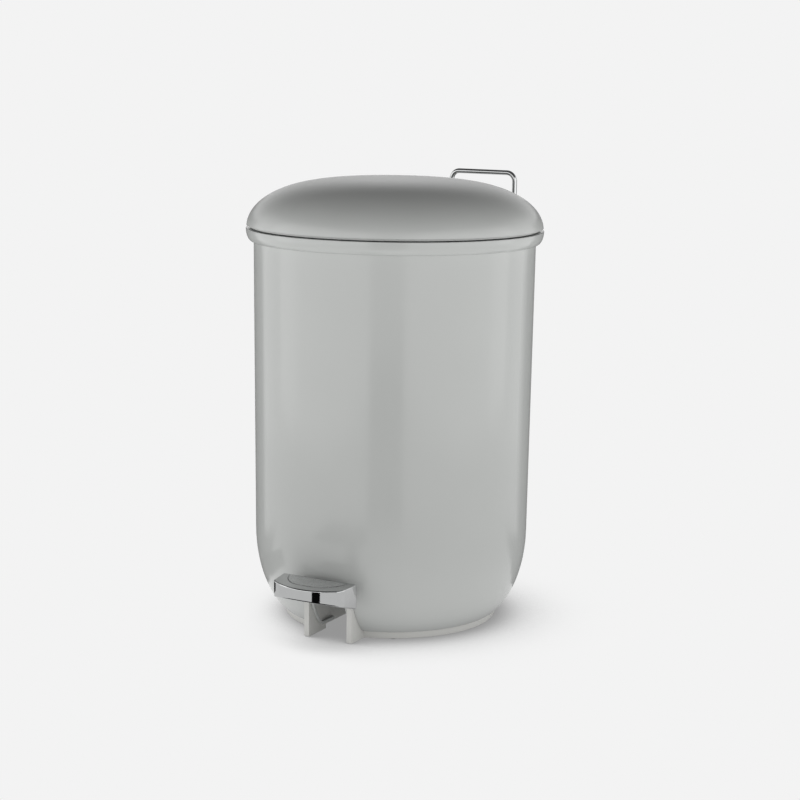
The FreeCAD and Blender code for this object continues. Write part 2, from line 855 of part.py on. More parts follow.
def pierce_lever(body):
    """Holes for the bushes and the cap's screws, and the open slot that the rod's foot hooks in."""
    bushes = new_sketch(body, "YZ_Plane")
    draw_circle(bushes, "-pivot_back", "pivot_height", "bush_radius + press / 2")
    foot_low = "foot_height - rod_radius - foot_slot_clear"
    foot_high = "foot_height + rod_radius + foot_slot_clear"
    draw(bushes, rectangle("foot_reach - foot_slot_back", foot_low, "foot_reach + foot_slot_front", foot_high))
    pocket(body, bushes, "right_through", midplane=True)
    notch = new_sketch(body, "XY_Plane", "foot_height - rod_radius - 2")
    draw(notch, rectangle(
        "-rod_radius - rod_hook", "foot_reach - 2 * rod_hook", "rod_radius + 8", "tail_end + past"))
    pocket(body, notch, "4 * past", reverse=True)
    spots = [("0", f"-{spot}") for spot in PEDAL_SCREWS]
    drill(body, "XY_Plane", "tongue_top - 2 * past", spots, "screw_radius + screw_clear", "4 * past", True)


def bow(chord_half, rise):
    """The radius of an arc over a chord, from half the chord and the arc's rise."""
    return f"(({chord_half})^2 + ({rise})^2) / (2 * ({rise}))"


def cap_outline(inset):
    """The cap's plan, drawn in by inset: a bowed front between two sides that open towards the back."""
    front = f"(cap_half_front - {inset})"
    back = f"(cap_half_back - {inset})"
    corner = f"(cap_corner - {inset} / 2)"
    rise = f"(cap_front - {inset} - {corner})"
    rear = f"-(cap_back + {inset})"
    return [(f"-{front}", f"-{corner}", bow(front, rise)), (front, f"-{corner}"), (back, rear), (f"-{back}", rear)]


def inset_outline(gap):
    """The inset's plan, drawn in by the gap: a bowed front, and sides that bulge a little."""
    front = f"(inset_half_front - {gap} / 2)"
    back = f"(inset_half_back - {gap})"
    corner = f"(inset_corner - {gap})"
    rear = f"-(inset_back + {gap})"
    return [
        (f"-{front}", f"-{corner}", bow(front, "(inset_front - inset_corner)")),
        (front, f"-{corner}", "inset_side_bulge"),
        (back, rear),
        (f"-{back}", rear, "inset_side_bulge"),
    ]


def trim_above(body, front_top, back_top):
    """Cut away what stands above a plane that runs from the cap's front to its back."""
    above = new_sketch(body, "YZ_Plane")
    ceiling = "cap_back_top + 4 * past"
    draw(above, [
        ("-cap_front - past", front_top),
        ("-cap_back + past", back_top),
        ("-cap_back + past", ceiling),
        ("-cap_front - past", ceiling),
    ])
    pocket(body, above, "right_through", midplane=True)


def make_cap():
    """The chrome-plated moulding over the lever's tongue: hollow below, recessed on top for the inset."""
    body = new_body("pedal_cap")
    plan = new_sketch(body, "XY_Plane", "cap_back_bottom - past")
    draw(plan, cap_outline("0"))
    pad(body, plan, "cap_back_top - cap_back_bottom + 2 * past")
    middle = -value("(cap_corner + cap_back) / 2")
    round_edges(body, "cap_corner_round", lambda edge: is_upright(edge) and edge.CenterOfMass.y < middle)
    round_edges(body, "cap_edge_round", lambda edge: is_upright(edge) and edge.CenterOfMass.y > middle)
    trim_above(body, "cap_front_top - 0.2", "cap_back_top + 0.2")
    below = new_sketch(body, "YZ_Plane")
    draw(below, [
        ("-cap_front - past", "0"),
        ("-cap_back + past", "0"),
        ("-cap_back + past", "cap_back_bottom - 1.4"),
        ("-cap_front - past", "cap_front_bottom + 1.4"),
    ])
    pocket(body, below, "right_through", midplane=True)
    round_edges(body, "cap_edge_round", lambda edge: not is_upright(edge))
    hollow_cap(body)


def hollow_cap(body):
    """The cap's underside, the mouth that the lever enters by, the inset's recess and the screw posts."""
    hollow = new_sketch(body, "XY_Plane", "0")
    draw(hollow, cap_outline("cap_wall"))
    pocket(body, hollow, "cap_front_top - cap_wall - inset_depth", reverse=True)
    mouth = new_sketch(body, "XZ_Plane", "cap_back + 2 * cap_wall")
    draw(mouth, rectangle("-lever_half - gap", "0", "lever_half + gap", "tongue_top + gap"))
    pocket(body, mouth, "cap_back")
    recess = new_sketch(body, "XY_Plane", "cap_front_top - inset_depth + 0.1")
    draw(recess, inset_outline("0"))
    pocket(body, recess, "2 * past", reverse=True)
    spots = [("0", f"-{spot}") for spot in PEDAL_SCREWS]
    posts = new_sketch(body, "XY_Plane", "tongue_top + seat")
    for x, y in spots:
        draw_circle(posts, x, y, "cap_boss_radius")
    pad(body, posts, "cap_boss_height")
    drill(body, "XY_Plane", "tongue_top - past", spots, "screw_radius + press", "past + cap_boss_height + seat", True)


def is_upright(edge):
    line = edge.Vertexes[0].Point - edge.Vertexes[-1].Point
    return abs(line.x) + abs(line.y) < 0.01


def make_inset():
    body = new_body("pedal_inset")
    plan = new_sketch(body, "XY_Plane", "cap_front_top - inset_depth + 0.12")
    draw(plan, inset_outline("inset_gap"))
    pad(body, plan, "past")
    trim_above(body, "cap_front_top - 0.05", "cap_back_top + 0.35")


def make_pedal_screws():
    screws = []
    for spot in PEDAL_SCREWS:
        head_face = "tongue_top - lever_sheet - screw_head_height"
        screws.append(screw("0", f"-{spot}", head_face, "pedal_screw_length", "screw_head_height"))
    node(group(screws), "pedal_screws")


def make_stop_pad():
    disc = cylinder("stop_radius", "stop_height", "0", "foot_reach - stop_ahead", "shell_floor_height - seat")
    node(disc, "lever_stop_pad")


# The lift rod.


def make_lift_rod():
    """The bent wire that pushes the lid up: its foot hooks in the lever's tail."""
    back = value("foot_reach")
    low = value("foot_height")
    upright = value("rod_back")
    points = [
        Vector(value("lever_half + rod_hook"), back, low),
        Vector(0, back, low),
        Vector(0, back, low + value("rod_rise")),
        Vector(0, value("rod_lean_back"), value("rod_lean_height")),
        Vector(0, upright, value("rod_straight_height")),
        Vector(0, upright, value("rod_top")),
    ]
    bends = [4.0, 8.0, 20.0, 60.0]
    shape_node(bent_wire(points, bends, value("rod_radius")), "lift_rod")


def make_rod_head():
    """The block on the rod's top; its slot takes the pin in the lid's arm."""
    block = box("-head_half", "head_front", "head_bottom", "head_half", "head_back", "head_top")
    middle = "hinge_height - arm_length * sin(arm_angle)"
    half_height = "(hinge_pin_radius + slot_clear)"
    half_length = "(hinge_pin_radius + slot_end_clear)"
    slot = box(
        "-head_half - 1",
        f"hinge_back - arm_length - {half_length}",
        f"{middle} - {half_height}",
        "head_half + 1",
        f"hinge_back - arm_length * cos(arm_angle) + {half_length}",
        f"{middle} + {half_height}",
    )
    socket = cylinder("rod_radius + press", "rod_top - head_bottom + 1", "0", "rod_back", "head_bottom - 1")
    node(cut(cut(block, slot), socket), "rod_head")


def make_rod_guides():
    """Two moulded eyes that keep the rod against the shell's back wall."""
    slope = "(wall_top_radius - wall_low_radius) / (rim_step_height - curve_top_height)"
    for label, height in (("lower_rod_guide", "low_guide_height"), ("upper_rod_guide", "high_guide_height")):
        wall_radius = f"(wall_low_radius - wall - seat + ({height} - curve_top_height) * {slope})"
        block = box(
            "-guide_half", "guide_front", height, "guide_half", f"{wall_radius} + 2", f"{height} + guide_tall")
        inside = doc.addObject("Part::Cone", "Cone")
        bind(inside, Radius1=wall_radius, Radius2=f"{wall_radius} + guide_tall * {slope}", Height="guide_tall")
        place(inside, "0", "0", height)
        clipped = doc.addObject("Part::MultiCommon", "Common")
        clipped.Shapes = [block, inside]
        eye = cylinder("rod_radius + guide_running", "guide_tall + 2", "0", "rod_back", f"{height} - 1")
        node(cut(clipped, eye), label)


# The hinge bracket and the carrying handle.


def make_hinge_bracket():
    """The moulding on the back that carries the lid hinge and the wire handle."""
    body = new_body("hinge_bracket")
    plan = new_sketch(body, "XY_Plane", "bracket_bottom")
    draw(plan, rectangle("-bracket_half", "bracket_back / 2", "bracket_half", "bracket_back"))
    pad(body, plan, "bracket_top - bracket_bottom")
    drum_middle = value("wall_top_radius")
    round_edges(body, "bracket_side_round", lambda edge: is_upright(edge) and edge.CenterOfMass.y > drum_middle)
    round_edges(body, "bracket_low_round", is_back_lower)
    for side in SIDES:
        add_hinge_lug(body, side)
    drum = new_sketch(body, "XY_Plane", "bracket_bottom - past")
    draw_circle(drum, "0", "0", "wall_top_radius + screw_clear")
    pocket(body, drum, "right_through", reverse=True)
    cavity = new_sketch(body, "XY_Plane", "rod_window_bottom")
    back = "bracket_back - bracket_back_wall"
    draw(cavity, rectangle("-rod_window_half", "bracket_back / 2", "rod_window_half", back))
    pocket(body, cavity, "right_through", reverse=True)
    drill_bracket(body)


def add_hinge_lug(body, side):
    """An ear beside the lid's arm: an eye round the hinge line on a straight foot."""
    middle = f"{side} * (rod_window_half + collar_notch_half) / 2"
    thickness = "collar_notch_half - rod_window_half - 2 * lug_gap"
    eye = new_sketch(body, "YZ_Plane", middle)
    draw_circle(eye, "hinge_back", "hinge_height", "lug_radius")
    pad(body, eye, thickness, midplane=True)
    foot = new_sketch(body, "YZ_Plane", middle)
    draw(foot, rectangle(
        "hinge_back - lug_radius", "bracket_top - 2", "hinge_back + lug_radius", "hinge_height"))
    pad(body, foot, thickness, midplane=True)


def drill_bracket(body):
    """The hinge pin's hole, the sockets of the handle's ends and the two screw holes."""
    pin_hole = new_sketch(body, "YZ_Plane")
    draw_circle(pin_hole, "hinge_back", "hinge_height", "hinge_pin_radius + press")
    pocket(body, pin_hole, "right_through", midplane=True)
    sockets = [(f"{side} * handle_half", "handle_low") for side in SIDES]
    drill(body, "XZ_Plane", "0", sockets, "handle_wire + press", "bracket_back + 1")
    fixings = [(f"{side} * fixing_half", "fixing_height") for side in SIDES]
    drill(body, "XZ_Plane", "0", fixings, "screw_radius + press", "fixing_start + fixing_length + 0.5")


def is_back_lower(edge):
    centre = edge.CenterOfMass
    back = value("bracket_back - bracket_side_round - 1")
    return centre.z < value("bracket_bottom + 0.1") and centre.y > back


def make_hinge_pin():
    reach = "(collar_notch_half - lug_gap - 0.1)"
    pin = cylinder("hinge_pin_radius", f"2 * {reach}", f"-{reach}", "hinge_back", "hinge_height", ALONG_X)
    node(pin, "hinge_pin")


def make_bracket_screws():
    """Two screws from inside the drum into the bracket, below the rod window."""
    screws = []
    for side in SIDES:
        x = f"{side} * fixing_half"
        screws.append(screw(x, "fixing_start", "fixing_height", "fixing_length", "fixing_head", ALONG_Y))
    node(group(screws), "bracket_screws")


def make_carry_handle():
    """The bent wire behind the lid, with its ends buried in the bracket."""
    half = value("handle_half")
    back = value("handle_back")
    low = value("handle_low")
    top = value("handle_top")
    start = value("bracket_back - handle_bury")
    points = [
        Vector(-half, start, low),
        Vector(-half, back, low),
        Vector(-half, back, top),
        Vector(half, back, top),
        Vector(half, back, low),
        Vector(half, start, low),
    ]
    low_bend = value("handle_low_bend")
    top_bend = value("handle_top_bend")
    wire = bent_wire(points, [low_bend, top_bend, top_bend, low_bend], value("handle_wire"))
    shape_node(wire, "carry_handle")


def make_ferrules():
    """A collar on each end of the handle, against the bracket."""
    ferrules = []
    for side in SIDES:
        spot = (f"{side} * handle_half", "bracket_back", "handle_low", ALONG_Y)
        ring = cylinder("handle_wire + ferrule_wall", "ferrule_length", *spot)
        bore = cylinder("handle_wire + press", "ferrule_length", *spot)
        ferrules.append(cut(ring, bore))
    node(group(ferrules), "handle_ferrules")


# The lid.


def dome_height(radius, rise, reach):
    """The dome's height at this reach from the axis."""
    share = (reach / radius) ** (value("lid_power") / 2)
    return value("lid_base_height") + rise * math.sqrt(1 - share ** 2)


def dome_curve(radius, rise, stop):
    """The lid's rounded section from the axis out to the height stop, by its own formula."""
    base = value("lid_base_height")
    last = math.acos((stop - base) / rise)
    steps = 26
    points = []
    for i in range(steps + 1):
        turn = last * i / steps
        points.append(Vector(radius * math.sin(turn) ** (2 / value("lid_power")), 0, base + rise * math.cos(turn)))
    curve = Part.BSplineCurve()
    curve.interpolate(Points=points, InitialTangent=Vector(1, 0, 0))
    return curve


def full_turn(face):
    return face.revolve(Vector(), Vector(0, 0, 1), 360)


def make_dome():
    """The lid's outer skin, of even thickness, closed by a flat edge."""
    stop = value("lid_edge_height")
    outer = dome_curve(value("lid_radius"), value("lid_rise"), stop)
    inner = dome_curve(value("lid_radius - lid_wall"), value("lid_rise - lid_wall"), stop)
    section = Part.Wire([
        Part.LineSegment(inner.StartPoint, outer.StartPoint).toShape(),
        outer.toShape(),
        Part.LineSegment(outer.EndPoint, inner.EndPoint).toShape(),
        inner.toShape(),
    ])
    return full_turn(Part.Face(section))


def make_skirt():
    """The recessed ring that drops inside the rim, notched at the back for the hinge arm."""
    low = value("skirt_bottom")
    tall = value("skirt_tall")
    inner = value("skirt_inner")
    outer = value("skirt_outer")
    outline = [
        Vector(inner, 0, low),
        Vector(outer, 0, low),
        Vector(outer, 0, low + tall),
        Vector(inner, 0, low + tall + value("skirt_slope")),
        Vector(inner, 0, low),
    ]
    skirt = full_turn(Part.Face(Part.makePolygon(outline)))
    half = value("arm_half + past / 2")
    notch_low = value("lid_edge_height - 3")
    notch = Part.makeBox(2 * half, value("4 * past"), 7.5, Vector(-half, value("collar_inner_radius - 0.6"), notch_low))
    return skirt.cut(notch)


def make_lid_boss():
    """The block under the dome that the hinge arm is screwed to; its top is buried in the dome."""
    half = value("arm_half")
    low = value("lid_boss_bottom")
    front = value("lid_boss_front")
    back = value("lid_boss_back")
    radius = value("lid_radius - lid_wall / 2")
    rise = value("lid_rise - lid_wall / 2")
    outline = [
        Vector(-half, front, low),
        Vector(-half, back, low),
        Vector(-half, back, dome_height(radius, rise, back)),
        Vector(-half, front, dome_height(radius, rise, front)),
        Vector(-half, front, low),
    ]
    return Part.Face(Part.makePolygon(outline)).extrude(Vector(2 * half, 0, 0))


def make_lid_shell():
    """A thin dome, a recessed skirt round its edge and a boss for the hinge arm."""
    shell = make_dome().fuse([make_skirt(), make_lid_boss()])
    for spot in LID_SCREWS:
        start = Vector(0, value(spot), value("lid_boss_bottom - 1"))
        shell = shell.cut(Part.makeCylinder(value("screw_radius + press"), value("lid_screw_length - 1"), start))
    shape_node(shell.removeSplitter(), "lid_shell")


PIN_Y = "hinge_back - arm_length * cos(arm_angle)"
PIN_Z = "hinge_height - arm_length * sin(arm_angle)"


def make_lid_arm():
    """Two cheeks from the lid's boss down past the hinge barrel to the pin that the rod lifts."""
    body = new_body("lid_arm")
    side = new_sketch(body, "YZ_Plane")
    draw(side, [
        ("lid_boss_front", "arm_plate_top"),
        ("arm_shoulder", "arm_plate_top"),
        ("arm_bend_back", "arm_bend_height"),
        ("arm_skirt_back", "arm_skirt_height"),
        ("hinge_back", "hinge_height + arm_barrel_side"),
        ("hinge_back + arm_nose", "hinge_height"),
        ("hinge_back", "hinge_height - arm_barrel_side"),
        ("arm_heel_back", "arm_heel_height"),
        (PIN_Y, f"{PIN_Z} - arm_eye"),
        (f"{PIN_Y} - arm_eye", PIN_Z),
        ("arm_inner_front", "arm_inner_height"),
        ("arm_web_front", "arm_web_height"),
        ("lid_boss_front", "arm_plate_low"),
    ])
    pad(body, side, "2 * arm_half", midplane=True)
    barrel = new_sketch(body, "YZ_Plane")
    draw_circle(barrel, "hinge_back", "hinge_height", "barrel_radius")
    pad(body, barrel, "2 * (rod_window_half - barrel_gap)", midplane=True)
    part_cheeks(body)
    drill_lid_arm(body)


def part_cheeks(body):
    """Clear the space between the cheeks, under the plate and in front of the barrel."""
    between = new_sketch(body, "YZ_Plane")
    low = "head_bottom - 2 * past"
    barrel_front = "hinge_back - 6"
    draw(between, [
        ("lid_boss_front - 2 * past", low),
        ("hinge_back", low),
        ("hinge_back", "hinge_height - 6"),
        (barrel_front, "hinge_height - 4.2"),
        (barrel_front, "arm_plate_low"),
        ("lid_boss_front - 2 * past", "arm_plate_low"),
    ])
    pocket(body, between, "2 * arm_inner_half", midplane=True)


def drill_lid_arm(body):
    pins = new_sketch(body, "YZ_Plane")
    draw_circle(pins, "hinge_back", "hinge_height", "hinge_pin_radius + running")
    draw_circle(pins, PIN_Y, PIN_Z, "hinge_pin_radius + press")
    pocket(body, pins, "right_through", midplane=True)
    spots = [("0", spot) for spot in LID_SCREWS]
    drill(body, "XY_Plane", "arm_plate_low - past", spots, "screw_radius + screw_clear", "4 * past", True)


def make_lid_fasteners():
    """The pin that the rod's head lifts, and the two screws that hold the arm under the lid."""
    pin = cylinder("hinge_pin_radius", "2 * arm_half", "-arm_half", PIN_Y, PIN_Z, ALONG_X)
    node(pin, "lid_arm_pin")
    screws = []
    for spot in LID_SCREWS:
        head_face = "arm_plate_low - screw_head_height"
        screws.append(screw("0", spot, head_face, "lid_screw_length", "screw_head_height"))
    node(group(screws), "lid_arm_screws")


# The bucket.


def make_bucket():
    """A tapered pail with a flat flange, notched at the back for the lid's arm."""
    body = new_body("inner_bucket")
    inner_low = "bucket_low_radius - bucket_wall"
    inner_floor = "bucket_floor + bucket_wall"
    profile = new_sketch(body, "XZ_Plane")
    draw(profile, [
        ("0", "bucket_floor"),
        ("bucket_low_radius", "bucket_floor"),
        ("bucket_top_radius", "flange_bottom"),
        ("flange_radius", "flange_bottom"),
        ("flange_radius", "flange_top"),
        ("bucket_top_radius - bucket_wall", "flange_top"),
        (inner_low, inner_floor),
        ("0", inner_floor),
    ])
    revolve(body, profile)
    round_edges(body, "bucket_round", lambda edge: is_circle_at(edge, "bucket_low_radius", "bucket_floor"))
    round_edges(body, "bucket_round - bucket_wall", lambda edge: is_circle_at(edge, inner_low, inner_floor))
    notch = new_sketch(body, "XY_Plane", "flange_bottom - 1")
    front = "bucket_top_radius + flange_notch_depth"
    draw(notch, rectangle("-flange_notch_half", front, "flange_notch_half", "flange_radius + past"))
    pocket(body, notch, "2 * past", reverse=True)
    eyes = new_sketch(body, "YZ_Plane")
    draw_circle(eyes, "0", "bail_height", "bail_wire + guide_running")
    pocket(body, eyes, "right_through", midplane=True)


def make_bail():
    """The bucket's wire bail: a half circle with an outward step at each end that passes the bucket's wall."""
    radius = value("bail_radius")
    offset = value("bail_offset")
    reach = value("bail_reach")
    height = value("bail_height")
    diagonal = offset * math.sqrt(0.5)
    edges = [
        Part.LineSegment(Vector(-reach, 0, height), Vector(-radius - offset, 0, height)).toShape(),
        Part.Arc(
            Vector(-radius - offset, 0, height),
            Vector(-radius - offset + diagonal, -offset + diagonal, height),
            Vector(-radius, -offset, height),
        ).toShape(),
        Part.Arc(
            Vector(-radius, -offset, height),
            Vector(0, -radius - offset, height),
            Vector(radius, -offset, height),
        ).toShape(),
        Part.Arc(
            Vector(radius, -offset, height),
            Vector(radius + offset - diagonal, -offset + diagonal, height),
            Vector(radius + offset, 0, height),
        ).toShape(),
        Part.LineSegment(Vector(radius + offset, 0, height), Vector(reach, 0, height)).toShape(),
    ]
    shape_node(sweep_wire(edges, value("bail_wire")), "bucket_bail")


def make_bail_grip():
    """The moulded sleeve round the middle of the bail."""
    sleeve = doc.addObject("Part::Torus", "Torus")
    bore = doc.addObject("Part::Torus", "Torus")
    for torus, section in ((sleeve, "grip_radius"), (bore, "bail_wire + press")):
        bind(torus, Radius1="bail_radius", Radius2=section, Angle3="grip_sweep")
        turn = Rotation(Vector(0, 0, 1), -90 - value("grip_sweep") / 2)
        place(torus, "0", "-bail_offset", "bail_height", turn)
    node(cut(sleeve, bore), "bail_grip")


def export():
    """Recompute, refuse any failed object or broken shape, then write one file for each node."""
    doc.recompute()
    for thing in doc.Objects:
        if "Invalid" in thing.State or "Error" in thing.State:
            raise RuntimeError(f"{thing.Label} ({thing.Name}) failed: {thing.State}")
    os.makedirs("parts", exist_ok=True)
    for label, thing in nodes.items():
        shape = thing.Shape
        if shape.isNull() or not shape.isValid() or not shape.Solids:
            raise RuntimeError(f"{label} has no valid solid")
        shape.exportStep(f"parts/{label}.step")
        print(f"{label}: {len(shape.Solids)} solid(s), {shape.Volume / 1000:.2f} cm3")


make_outer_shell()
make_rim_collar()
make_rim_bumpers()
make_base_plate()
make_foot_pads()
make_base_screws()
make_pivot_pin()
make_pivot_bushes()
make_lever()
make_cap()
make_inset()
make_pedal_screws()
make_stop_pad()
make_lift_rod()
make_rod_head()
make_rod_guides()
make_hinge_bracket()
make_hinge_pin()
make_bracket_screws()
make_carry_handle()
make_ferrules()
make_lid_shell()
make_lid_arm()
make_lid_fasteners()
make_bucket()
make_bail()
make_bail_grip()
export()
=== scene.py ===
import math

import bmesh
import bpy
from mathutils import Matrix, Vector


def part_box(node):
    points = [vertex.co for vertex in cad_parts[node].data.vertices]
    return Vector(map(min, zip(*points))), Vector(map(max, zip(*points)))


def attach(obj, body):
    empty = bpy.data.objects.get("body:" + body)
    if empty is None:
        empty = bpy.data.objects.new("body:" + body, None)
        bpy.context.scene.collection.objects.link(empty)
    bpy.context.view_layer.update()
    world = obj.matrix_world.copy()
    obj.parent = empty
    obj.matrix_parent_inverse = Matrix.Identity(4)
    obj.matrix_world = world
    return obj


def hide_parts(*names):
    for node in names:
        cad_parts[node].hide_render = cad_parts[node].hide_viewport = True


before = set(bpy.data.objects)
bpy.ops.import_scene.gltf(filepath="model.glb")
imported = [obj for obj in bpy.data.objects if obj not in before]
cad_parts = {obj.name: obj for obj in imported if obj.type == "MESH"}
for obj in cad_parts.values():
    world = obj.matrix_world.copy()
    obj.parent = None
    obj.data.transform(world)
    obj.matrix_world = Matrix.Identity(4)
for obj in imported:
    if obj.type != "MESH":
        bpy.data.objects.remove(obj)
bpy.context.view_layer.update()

MM = 0.001
scene = bpy.context.scene

# Camera, in metres and degrees. Azimuth 0 is in front, towards -Y, and positive is towards +X.
CAMERA_AZIMUTH = 28.0
CAMERA_REACH = 1.6642
CAMERA_HEIGHT = 0.4905
CAMERA_TARGET = (0.00564, 0.003, 0.1915)
CAMERA_ROLL = 0.0137
CAMERA_LENS = 85.71
SENSOR_WIDTH = 36.0

# Studio: a white floor and backdrop, a dim ceiling, and two tall soft boxes on each side of the camera. The
# azimuths of the boxes and of the felt cards are counted from the camera's.
BACKDROP = "#F3F3F3"
SHADOW = "#959595"
CEILING = "#5A5A5A"
WALL_TOP = 0.16
CEILING_START = 0.65
FILL = 0.55
BOX_REACH = 0.85
BOX_LOW = -0.05
BOX_HIGH = 0.85
LEFT_BOX = (-100.0, -18.0)
RIGHT_BOX = (8.0, 100.0)
BOX_RADIANCE = 0.80
LEFT_SIDE_BOX = (-125.0, -80.0)
RIGHT_SIDE_BOX = (80.0, 125.0)
SIDE_RADIANCE = 0.30
SHADOW_REACH = 0.205
SHADOW_LEAN = 0.2
SHADOW_SAMPLES = 16
SHADOW_FULL = 0.15
SHADOW_NONE = 0.75
FLOOR_RADIUS = 6.0
FLOOR_SIDES = 96

# Felt cards, in metres and degrees, that only glossy reflections show. Grey ones behind the can darken its
# outlines, and black ones near the pedal give its chrome cap dark lines and a dark stripe. A long black one
# on the floor in front stands for the gap between the two front boxes.
BLACK_FELT = "#101010"
GREY_FELT = "#6C6C6C"
BACK_CARD_REACH = 0.35
BACK_CARD_TOP = 0.4
LEFT_BACK_CARD = (-153.0, -116.0)
RIGHT_BACK_CARD = (116.0, 153.0)
FLOOR_CARD_REACHES = (0.15, 0.42)
LEFT_FLOOR_CARD = (-160.0, -100.0)
RIGHT_FLOOR_CARD = (100.0, 160.0)
GAP_CARD_REACHES = (0.5, 1.6)
STRIPE_CARD_ENDS = ((-0.0045, -0.277), (0.035, -0.277))
STRIPE_CARD_TOP = 0.045
PEDAL_LEFT_ENDS = ((-0.1560, -0.1360), (-0.1269, -0.0689))
PEDAL_LEFT_HEIGHTS = (0.012, 0.042)
PEDAL_TOP_LIMITS = ((-0.05, 0.05), (-0.235, -0.168))
PEDAL_TOP_HEIGHT = 0.074
PEDAL_LOW_LIMITS = ((-0.045, 0.045), (-0.205, -0.155))
PEDAL_LOW_HEIGHT = 0.027

# Textures: sizes and depths in millimetres, and roughness as a spread about a middle value or as two ends.
NOISE_LOW = 0.3
NOISE_HIGH = 0.7
PLASTIC_IOR = 1.49
CLOUD_SIZE = 60
GRAIN_SIZE = 0.8
GRAIN_DEPTH = 0.001
GRAIN_SPREAD = 0.01
CHROME_DARK = "#B5B6B6"
CHROME_LIGHT = "#BCBDBD"
CHROME_HAZE_SIZE = 9
CHROME_SMOOTHER = 0.01
CHROME_ROUGHER = 0.02
CHROME_WAVE_DEPTH = 0.02
BRUSHED_DARK = "#BDBEBE"
BRUSHED_LIGHT = "#CBCCCC"
BRUSH_SPACING = 0.5
BRUSH_STRETCH = 0.02
BRUSH_ROUGH = (0.24, 0.34)
BRUSH_DEPTH = 0.01
BLOTCH_SIZE = 5
BLOTCH_SMOOTHER = 0.06
BLOTCH_ROUGHER = 0.08
SCRATCH_SIZE = 0.4
SCRATCH_STRETCH = 0.08
SCRATCH_DEPTH = 0.01
RUBBER_DARK = "#19191A"
RUBBER_LIGHT = "#2A2A2B"
RUBBER_IOR = 1.52
BLOOM_SIZE = 1.0
BLOOM_ROUGH = (0.62, 0.82)
BLOOM_DEPTH = 0.05

# Modelling, in millimetres: how near counts as touching, or as one point to weld, how straight on counts as
# facing, and from which angle an edge stays sharp.
TOUCHING = 0.01
FACING = 0.9
RIM_SLACK = 0.1
WELD = 0.001
SHARP_DEGREES = 35

# Screws, in millimetres: pan heads with a cross recess on a thread-forming shank.
HEAD_RADIUS = 3.4
HEAD_ROUND = 1.3
HEAD_HEIGHT = 2.0
BRACKET_HEAD_HEIGHT = 1.8
HEAD_SIDES = 32
HEAD_STEPS = 4
CORE_RADIUS = 1.4
CREST_RADIUS = 1.85
THREAD_PITCH = 1.2
THREAD_TURN = ((0.4, 1.0), (0.3, CREST_RADIUS / CORE_RADIUS), (0.3, CORE_RADIUS / CREST_RADIUS))
SCREW_TIP = 1.4
TIP_SHARE = 0.4
CROSS_WIDTH = 0.9
CROSS_REACH = 2.1
CROSS_DEPTH = 1.1
CROSS_FOOT_SHARE = 0.45
BASE_SCREW_CIRCLE = 82.0
BASE_SCREW_ANGLES = (45, 135, 225, 315)
PEDAL_SCREW_PLACES = (-131.0, -143.0)
LID_SCREW_PLACES = (94.5, 103.5)
BRACKET_SCREW_HALF = 9.0

# The bail's grip, and the ribs under the lid, in millimetres and degrees.
GRIP_ARC = 90.0
GRIP_OFFSET = -4.0
GRIP_HEIGHT = 329.0
GRIP_RADIUS = 5.5
GRIP_SWEEP = 40.0
GRIP_GROOVES = 14
GRIP_GROOVE = 0.9
GRIP_SIDES = 28
GROOVE_RINGS = 4
GRIP_END_INSET = 0.5
GRIP_END_BULGE = 0.45
GRIP_SHARP_DEGREES = 60
RIB_LENGTH = 74.0
RIB_THICK = 1.6
RIB_DEPTH = 4.2
RIB_SINK = 1.0
RIB_COUNT = 8
RIB_STEPS = 10
RIB_END_FACING = 0.7
RIB_END_SLACK = 0.1
HUB_RADIUS = 24.0
HUB_SIDES = 72
HUB_TOOL_HEIGHT = 20
LID_INNER_RADIUS = 127.6
LID_INNER_RISE = 42.07
LID_BASE = 344.2
LID_POWER = 3.17

# The E-clips on the pedal's pin, in millimetres.
CLIP_SHEET = 1.4
CLIP_BORE = 3.02
CLIP_NOTCH = 1.3
CLIP_NOTCH_OUT = 3.4
CLIP_NOTCH_UP = 0.6
CLIP_MOUTH = 4.4
CLIP_SIDES = 64
CLIP_BORE_SIDES = 48
CLIP_TOOL_DEPTH = 4
CLIP_EDGE = 0.15
CLIP_EDGE_STEPS = 2


def linear(code):
    """An sRGB hex colour as the linear RGBA that a shader takes."""
    channels = [int(code[i:i + 2], 16) / 255 for i in (1, 3, 5)]
    return tuple(c / 12.92 if c <= 0.04045 else ((c + 0.055) / 1.055) ** 2.4 for c in channels) + (1.0,)


# Materials.


def new_material(name):
    """An empty material with its node tree and output."""
    material = bpy.data.materials.new(name)
    material.use_nodes = True
    tree = material.node_tree
    tree.nodes.clear()
    return material, tree, tree.nodes.new("ShaderNodeOutputMaterial")


def add(tree, kind, links=(), sockets=(), **settings):
    """Add a node: its settings, then (socket, value) pairs, then (socket, source socket) links."""
    node = tree.nodes.new(kind)
    for name, value in settings.items():
        setattr(node, name, value)
    for name, value in sockets:
        node.inputs[name].default_value = value
    for name, source in links:
        tree.links.new(node.inputs[name], source)
    return node


def paint(nodes, material):
    """Give every slot of these CAD nodes the material."""
    for name in nodes:
        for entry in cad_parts[name].material_slots:
            entry.material = material


def texture_space(tree, stretch=(1.0, 1.0, 1.0)):
    """Object coordinates, stretched along each axis."""
    place = add(tree, "ShaderNodeTexCoord").outputs["Object"]
    return add(tree, "ShaderNodeMapping", [("Vector", place)], [("Scale", stretch)]).outputs["Vector"]


def noise(tree, space, size_mm, detail=2.0):
    """Noise whose spots are about size_mm across."""
    return add(tree, "ShaderNodeTexNoise", [("Vector", space)],
               [("Scale", 1 / (size_mm * MM)), ("Detail", detail)]).outputs["Fac"]


